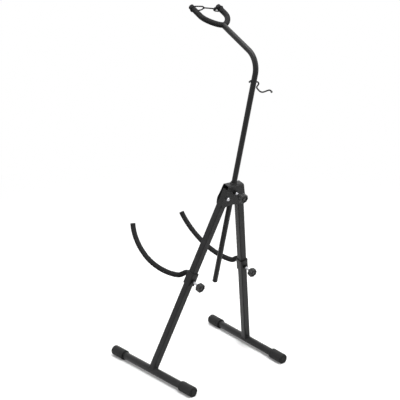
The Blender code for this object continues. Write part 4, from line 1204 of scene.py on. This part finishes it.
class MakeArmPads(bpy.types.Operator):
    """The foam tubes on the two body arms, with the dipped ends of the rods inside"""

    bl_idname = "stand.make_arm_pads"
    bl_label = "Arm pads"

    def execute(self, context):
        sizes = context.scene.stand_sizes
        whole = Route(arm_points())
        count = 200
        span = whole.length - sizes.foam_start
        local = [whole.at(sizes.foam_start + span * i / count)[0] for i in range(count + 1)]
        for side in SIDES:
            place = leg_place(side, "_arm_clamp_turn")
            points = [place @ p for p in local]
            normal = place.to_3x3() @ Vector((1.0, 0.0, 0.0))
            pad = foam_tube(side + "_arm_pad", points, normal, sizes)
            dress(pad, side + "_arm_pad", side + "_arm", "foam", side + "_arm_foam")
            tip = side + "_arm_tip"
            dress_node(tip + "_cap", tip, side + "_arm", "plastic", sizes.edge / 2, 1)
        return {"FINISHED"}


def yoke_points(sizes):
    """The yoke rod's middle line in its plane, from the left tip round to the right."""
    bend = interpolate_bezier(
        Vector((sizes.yoke_half, -sizes.yoke_bend, 0.0)),
        Vector((sizes.yoke_half, -sizes.yoke_corner, 0.0)),
        Vector((sizes.yoke_round, 0.0, 0.0)), Vector((0.0, 0.0, 0.0)), 40,
    )
    left = [Vector((-sizes.yoke_half, -sizes.yoke_left, 0.0))] + [Vector((-p.x, p.y, 0.0)) for p in bend]
    return left + list(reversed(bend[:-1])) + [Vector((sizes.yoke_half, -sizes.yoke_right, 0.0))]


def loop_places(sizes):
    """The retaining loop: from the knot over the right pad, round it and back."""
    radius = sizes.cord / 2
    pull = sizes.foam / 2 + radius - sizes.cord_bite
    start = sizes.knot / 2 + sizes.gap
    upper = [
        (sizes.knot_place + start * 0.35, start * 0.50),
        (sizes.knot_place + start * 0.65, start * 0.90),
        (sizes.knot_place + start * 1.35, pull * 0.60),
        (sizes.knot_place + start * 2.80, pull * 0.74),
    ]
    around = arc((sizes.yoke_half, 0.0), pull, math.pi / 2, -math.pi / 2, 8)
    lower = [(x, -over) for x, over in reversed(upper)]
    return [Vector((x, -sizes.cord_place, over)) for x, over in upper + around + lower]


def catch_places(sizes):
    """The catch loop round the left pad, as a closed ring."""
    radius = sizes.cord / 2
    pull = sizes.foam / 2 + radius - sizes.cord_bite
    clear = sizes.ball / 2 + radius + sizes.gap
    beside = math.sqrt(clear ** 2 - sizes.ball_set ** 2)
    half = (sizes.ball_place - sizes.catch_end) / 2
    upper = [
        (-sizes.catch_end - half * 0.22, radius * 1.25),
        (-sizes.catch_end - half, beside * 0.74),
        (-sizes.ball_place, beside * 1.03),
        (-sizes.ball_place - half, beside * 1.10),
    ]
    around = arc((-sizes.yoke_half, 0.0), pull, math.pi / 2, 3 * math.pi / 2, 12)
    lower = [(x, -over) for x, over in reversed(upper)]
    ring = around[6:] + lower + [(-sizes.catch_end, 0.0)] + upper + around[:6]
    return smooth_through([Vector((x, -sizes.catch_place, over)) for x, over in ring + ring[:1]], 5)


def strand_places(sizes):
    """The strand from the knot over the catch loop to the ball."""
    start = sizes.knot / 2 + sizes.gap
    ball_depth = sizes.catch_place + sizes.ball_set
    over_catch = sizes.catch_place + sizes.cord + 2 * sizes.gap
    route = [
        (sizes.knot_place - start * 0.70, sizes.cord_place),
        (-sizes.catch_end, over_catch),
        (sizes.ball / 2 + sizes.gap - sizes.ball_place, ball_depth),
    ]
    return [Vector((x, -depth, 0.0)) for x, depth in route]


class MakeYokePad(bpy.types.Operator):
    """The foam tube on the neck yoke, cut round the post and pressed by the cords"""

    bl_idname = "stand.make_yoke_pad"
    bl_label = "Yoke pad"

    def execute(self, context):
        sizes = context.scene.stand_sizes
        place = yoke_place(sizes)
        normal = place.to_3x3() @ Vector((0.0, 0.0, 1.0))
        points = [place @ p for p in yoke_points(sizes)]
        cords = []
        for places in (smooth_through(loop_places(sizes), 10), catch_places(sizes)):
            line = Route([place @ p for p in places])
            steps = int(line.length / 0.0005)
            cords.append([line.at(line.length * i / steps)[0] for i in range(steps + 1)])
        pad = foam_tube("yoke_pad", points, normal, sizes, cords)
        pocket = round_cutter(
            sizes.post_diameter / 2 + sizes.gap, sizes.foam,
            place @ Matrix.Translation((0.0, sizes.rod / 4 - sizes.gap, 0.0)) @ ALONG_Y,
        )
        cut_away(pad, pocket)
        smooth_shading(pad, 50)
        dress(pad, "yoke_pad", "post", "foam", "yoke_foam")
        for side in SIDES:
            tip = side + "_yoke_tip"
            dress_node(tip + "_cap", tip, "post", "plastic", sizes.edge / 2, 1)
        rod = frame["nodes"]["yoke_rod"]
        rod.data.materials.clear()
        rod.data.materials.append(finish_of("coated_steel"))
        return {"FINISHED"}


class MakeCord(bpy.types.Operator):
    """The braided retaining cord: loop, knot, strand, release ball and catch loop"""

    bl_idname = "stand.make_cord"
    bl_label = "Retaining cord"

    def execute(self, context):
        sizes = context.scene.stand_sizes
        place = yoke_place(sizes)
        turn = place.to_3x3()
        knot = self.knot(sizes, place)
        ball = self.ball(sizes, place)
        loop_line = [place @ p for p in smooth_through(loop_places(sizes), 8)]
        loop = cord_body("retaining_loop", loop_line, turn @ Vector((0.0, 1.0, 0.0)), sizes.cord)
        dress(loop, "retaining_loop", "post", "cord", "cord_loop")
        Route(loop_line).length
        strand_line = [place @ p for p in smooth_through(strand_places(sizes), 16)]
        strand = cord_body("retaining_strand", strand_line, turn @ Vector((0.0, 0.0, 1.0)), sizes.cord)
        dress(strand, "retaining_strand", "cord", "cord", "cord_strand")
        ring = [place @ p for p in catch_places(sizes)]
        catch = cord_body("catch_ring", ring, turn @ Vector((0.0, 1.0, 0.0)), sizes.cord, closed=True)
        dress(catch, "catch_ring", "post", "cord", "catch_loop")
        dress(knot, "retaining_knot", "post", "cord", "cord_knot")
        dress(ball, "release_ball", "cord", "plastic", "cord_ball")
        return {"FINISHED"}

    def knot(self, sizes, place):
        """A tied knot: one cord on a trefoil, drawn tight."""
        thick = sizes.cord * 0.43
        reach = (sizes.knot / 2 - thick) / 3.0
        points = []
        for i in range(96):
            t = math.tau * i / 96
            points.append(Vector((
                reach * (2 * math.cos(2 * t) - math.cos(t)),
                reach * 0.95 * math.sin(3 * t),
                reach * (math.sin(t) + 2 * math.sin(2 * t)),
            )))
        route = Route(points + [points[0]])
        rings = []
        count, sides = 160, 14
        for i in range(count):
            centre, run = route.at(route.length * i / count)
            normal = centre.normalized() - run * centre.normalized().dot(run)
            rings.append(ring_at(centre, run, normal.normalized(), lambda out: thick, sides))
        knot = ringed_body("retaining_knot", rings)
        braid_map(knot, count, sides, route.length / count / sizes.cord)
        return set_down(knot, place @ Matrix.Translation((sizes.knot_place, -sizes.cord_place, 0.0)))

    def ball(self, sizes, place):
        """A turned ball with a countersunk hole towards the strand."""
        radius = sizes.ball / 2
        hole = sizes.cord / 2 * 0.9
        lip = math.asin((hole + sizes.edge) / radius)
        turns = [lip + (math.pi - lip) * i / 24 for i in range(25)]
        profile = [(0.0, radius * 0.7), (hole, radius * 0.7), (hole, radius * math.cos(lip) - sizes.edge)]
        profile += [(radius * math.sin(a), radius * math.cos(a)) for a in turns[:-1]] + [(0.0, -radius)]
        ball = spun(profile, 48)
        depth = sizes.catch_place + sizes.ball_set
        return set_down(ball, place @ Matrix.Translation((-sizes.ball_place, -depth, 0.0)) @ ALONG_X)


class MakeClamps(bpy.types.Operator):
    """The three clamps: threaded screws, welded nuts and lobed knobs"""

    bl_idname = "stand.make_clamps"
    bl_label = "Clamp screws and knobs"

    def execute(self, context):
        sizes = context.scene.stand_sizes
        hub = hub_place()
        hub.translation = Vector(joint("hub_clamp_turn")["pos_m"])
        self.clamp("hub", hub, sizes, sizes.post_diameter / 2, sizes.hub_knob, sizes.hub_neck)
        for side in SIDES:
            leg = leg_place(side, "_arm_clamp_turn")
            self.clamp(side + "_arm", leg, sizes, sizes.leg_side / 2, sizes.arm_knob, sizes.arm_neck)
        return {"FINISHED"}

    def clamp(self, carrier, place, sizes, tube_half, stand, neck):
        """One clamp on its carrier: the screw from the tube that it presses to the bore of its knob."""
        name = carrier + "_clamp"
        axis = place @ ALONG_Y
        head = self.knob(sizes, neck)
        set_down(head, axis @ Matrix.Translation((0.0, 0.0, stand)))
        dress(head, name + "_lobed_knob", name, "plastic", name + "_knob")
        end = stand + neck + sizes.knob_bore - 2 * sizes.gap
        screw = self.screw(sizes, tube_half + sizes.gap, end)
        set_down(screw, axis)
        dress(screw, name + "_threaded_screw", name, "zinc", name + "_screw")
        dress_node(name + "_nut", name + "_welded_nut", carrier, "black_steel", sizes.edge * 0.6)

    def knob(self, sizes, neck_height):
        """A spun head and neck whose rim is drawn in between the lobes, dished on its face, with a bore."""
        top = neck_height + sizes.knob_height
        radius = sizes.knob / 2
        bore = sizes.screw / 2 + sizes.gap
        floor = top - sizes.knob_dish
        wall = radius - sizes.knob_edge * 1.55
        boss = sizes.knob_boss
        soft = sizes.edge
        profile = [(0.0, top - soft), (boss * 0.7, top - soft * 1.25), (boss - soft, top - soft * 2)]
        profile += [(boss, top - soft * 3.25), (boss + soft * 0.75, floor + soft), (boss + soft * 2, floor)]
        profile += [(wall - soft * 2, floor), (wall - soft * 0.75, floor + soft), (wall, top - soft)]
        profile += rounded_edge(radius, sizes.knob_edge, top - sizes.knob_edge, top, 7)
        profile += [(radius, neck_height + sizes.knob_height * share) for share in (0.6, 0.4)]
        underside = rounded_edge(radius, sizes.knob_edge, neck_height + sizes.knob_edge, neck_height, 7)
        profile += reversed(underside)
        inside = sizes.neck / 2 + soft * 3
        nose = sizes.neck_nose / 2
        profile += [
            (inside, neck_height),
            (sizes.neck / 2 + soft * 0.5, neck_height - soft * 1.5),
            (nose + soft * 0.75, soft * 1.5),
            (nose - soft * 0.75, 0.0),
            (bore + soft * 0.75, 0.0),
            (bore, soft * 0.75),
            (bore, neck_height + sizes.knob_bore),
            (0.0, neck_height + sizes.knob_bore),
        ]
        knob = spun(profile, 96)
        for vertex in knob.data.vertices:
            out = Vector((vertex.co.x, vertex.co.y))
            if out.length > inside and vertex.co.z > neck_height - soft / 4:
                share = ((out.length - inside) / (radius - inside)) ** 2
                angle = math.atan2(out.y, out.x)
                wave = 0.5 - 0.5 * math.cos(sizes.lobes * angle)
                if abs(vertex.co.z - floor) < soft * 1.25 and boss < out.length < wall:
                    vertex.co.z += sizes.knob_dish * 0.75 * (1 - wave) ** 6
                out *= (out.length - sizes.knob_lobe * wave ** 2 * share) / out.length
                vertex.co.x, vertex.co.y = out
        knob.data.update()
        smooth_shading(knob, 40)
        return knob

    def screw(self, sizes, tip, end):
        """One turn of thread swept up by the Screw modifier, its ends cut square and the tip chamfered."""
        root = sizes.screw / 2 - sizes.thread
        crest = sizes.screw / 2 - sizes.thread_play
        rises = ((root, 0.0), (crest, 0.40), (crest, 0.55), (root, 0.93), (root, 1.0))
        screw = drawn([(radius, tip + (share - 2) * sizes.pitch) for radius, share in rises])
        to_object_mode()
        turns = int((end - tip) / sizes.pitch) + 4
        apply_modifier(
            screw, "SCREW", angle=math.tau, screw_offset=sizes.pitch, iterations=turns, steps=28,
            render_steps=28, use_merge_vertices=True, merge_threshold=sizes.thread_play / 8,
        )
        edit(screw)
        bpy.ops.mesh.remove_doubles(threshold=sizes.thread_play / 8)
        bpy.ops.mesh.select_all(action="SELECT")
        up = (0.0, 0.0, 1.0)
        bpy.ops.mesh.bisect(
            plane_co=(0.0, 0.0, end), plane_no=up, use_fill=True, clear_outer=True, threshold=ONE_PLACE,
        )
        bpy.ops.mesh.select_all(action="SELECT")
        bpy.ops.mesh.bisect(
            plane_co=(0.0, 0.0, tip), plane_no=up, use_fill=True, clear_inner=True, threshold=ONE_PLACE,
        )
        to_object_mode()
        for vertex in screw.data.vertices:
            out = Vector((vertex.co.x, vertex.co.y))
            most = sizes.screw / 2 - sizes.screw_chamfer + (vertex.co.z - tip) * 0.8
            if out.length > most > 0:
                out *= most / out.length
                vertex.co.x, vertex.co.y = out
        tidy_faces(screw)
        smooth_shading(screw, 30)
        return screw


class MakeBowHook(bpy.types.Operator):
    """The wire bow hook clipped on the post, with its two dipped ends"""

    bl_idname = "stand.make_bow_hook"
    bl_label = "Bow hook"

    def execute(self, context):
        sizes = context.scene.stand_sizes
        place = hook_place()
        grip = sizes.post_diameter / 2 + sizes.hook_wire / 2 + sizes.gap
        start, end = HOOK_GRIP
        steps = 9
        angles = [start + (end - start) * i / steps for i in range(steps + 1)]
        places = [Vector((grip * math.sin(a), -grip * math.cos(a), 0.0)) for a in angles]
        outward = places[0].normalized()
        along = Vector((-outward.y, outward.x, 0.0))
        on, out = HOOK_START
        places.insert(0, places[0] + along * on + outward * out)
        places += [Vector((-grip - out, back, up)) for out, back, up in HOOK_EAR]
        places += [Vector((inset - grip, back, up)) for inset, back, up in HOOK_ROUTE]
        wire = bent_tube([place @ p for p in smooth_through(places, 6)], sizes.hook_wire / 2, 7)
        smooth_shading(wire)
        dress(wire, "hook_wire", "bow_hook", "coated_steel", "bow_hook")
        for node, name in (("bow_hook_grip_tip", "hook_grip_dip"), ("bow_hook_end_tip", "hook_end_dip")):
            dip = refined(node, sizes.edge / 2, 2)
            edit(dip)
            bpy.ops.transform.shrink_fatten(value=sizes.hook_dip)
            to_object_mode()
            dress(dip, name, "bow_hook", "plastic", node)
        return {"FINISHED"}


class MakeStudio(bpy.types.Operator):
    """The pale floor, the soft lights, the white surroundings and the camera"""

    bl_idname = "stand.make_studio"
    bl_label = "Studio"

    def execute(self, context):
        self.floor()
        self.surroundings(context.scene)
        middle = (CAD_BOX[0] + CAD_BOX[1]) / 2
        for name, offset, side, power in LAMPS:
            self.softbox(name, middle + Vector(offset), middle, side, power)
        self.camera(context.scene)
        context.scene.view_settings.view_transform = "Standard"
        return {"FINISHED"}

    def floor(self):
        start_clean()
        bpy.ops.mesh.primitive_grid_add(x_subdivisions=8, y_subdivisions=8, size=60.0)
        floor = bpy.context.object
        floor.name = "studio_floor"
        set_down(floor, Matrix.Translation((0.0, 0.0, -0.0002)))
        floor.data.materials.append(finish_of("floor"))

    def softbox(self, name, place, target, side, power):
        data = bpy.data.lights.new(name, "AREA")
        data.shape = "SQUARE"
        data.size = side
        data.energy = power
        lamp = bpy.data.objects.new(name, data)
        lamp.matrix_world = aimed(place, target - place)
        bpy.context.scene.collection.objects.link(lamp)

    def surroundings(self, scene):
        """A grey room for the light, seen as white behind the object."""
        world = bpy.data.worlds.new("studio")
        scene.world = world
        maker = NodeMaker(world)
        room = maker.new("ShaderNodeBackground", {}, {"Color": WHITE, "Strength": ROOM_LIGHT})
        backdrop = maker.new("ShaderNodeBackground", {}, {"Color": WHITE, "Strength": 1.0})
        mixed = maker.new("ShaderNodeMixShader", {}, {
            0: maker.seen(), 1: room.outputs[0], 2: backdrop.outputs[0],
        })
        maker.new("ShaderNodeOutputWorld", {}, {"Surface": mixed.outputs[0]})

    def camera(self, scene):
        data = bpy.data.cameras.new("camera")
        data.sensor_width = 36.0
        data.lens = CAMERA_LENS
        data.clip_end = 100.0
        camera = bpy.data.objects.new("camera", data)
        low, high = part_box("right_foot_bar")
        place = Vector(CAMERA_PLACE) + Vector((0.0, (low.y + high.y) / 2, 0.0))
        camera.matrix_world = aimed(place, Vector(CAMERA_TOWARDS))
        scene.collection.objects.link(camera)
        scene.camera = camera


OPERATORS = (
    MakeLegs, MakeFeet, MakeHub, MakePost, MakeSleeves, MakeArmPads, MakeYokePad, MakeCord, MakeClamps,
    MakeBowHook, MakeStudio,
)


class StandPanel(bpy.types.Panel):
    """Buttons and sizes in the 3D view's sidebar"""

    bl_idname = "VIEW3D_PT_cello_stand"
    bl_label = "Cello stand"
    bl_space_type = "VIEW_3D"
    bl_region_type = "UI"
    bl_category = "Stand"

    def draw(self, context):
        column = self.layout.column()
        for operator in OPERATORS:
            column.operator(operator.bl_idname)
        for group in (context.scene.stand_sizes, context.scene.stand_colours):
            box = self.layout.box()
            for key in group.__annotations__:
                box.prop(group, key)


CLASSES = (StandSizes, StandColours, *OPERATORS, StandPanel)


def register():
    for cls in CLASSES:
        bpy.utils.register_class(cls)
    bpy.types.Scene.stand_sizes = PointerProperty(type=StandSizes)
    bpy.types.Scene.stand_colours = PointerProperty(type=StandColours)


def unregister():
    del bpy.types.Scene.stand_colours
    del bpy.types.Scene.stand_sizes
    for cls in reversed(CLASSES):
        bpy.utils.unregister_class(cls)


def main():
    register()
    for operator in OPERATORS:
        group, name = operator.bl_idname.split(".")
        getattr(getattr(bpy.ops, group), name)()
    start_clean()
    bpy.context.view_layer.update()


if __name__ == "__main__":
    main()
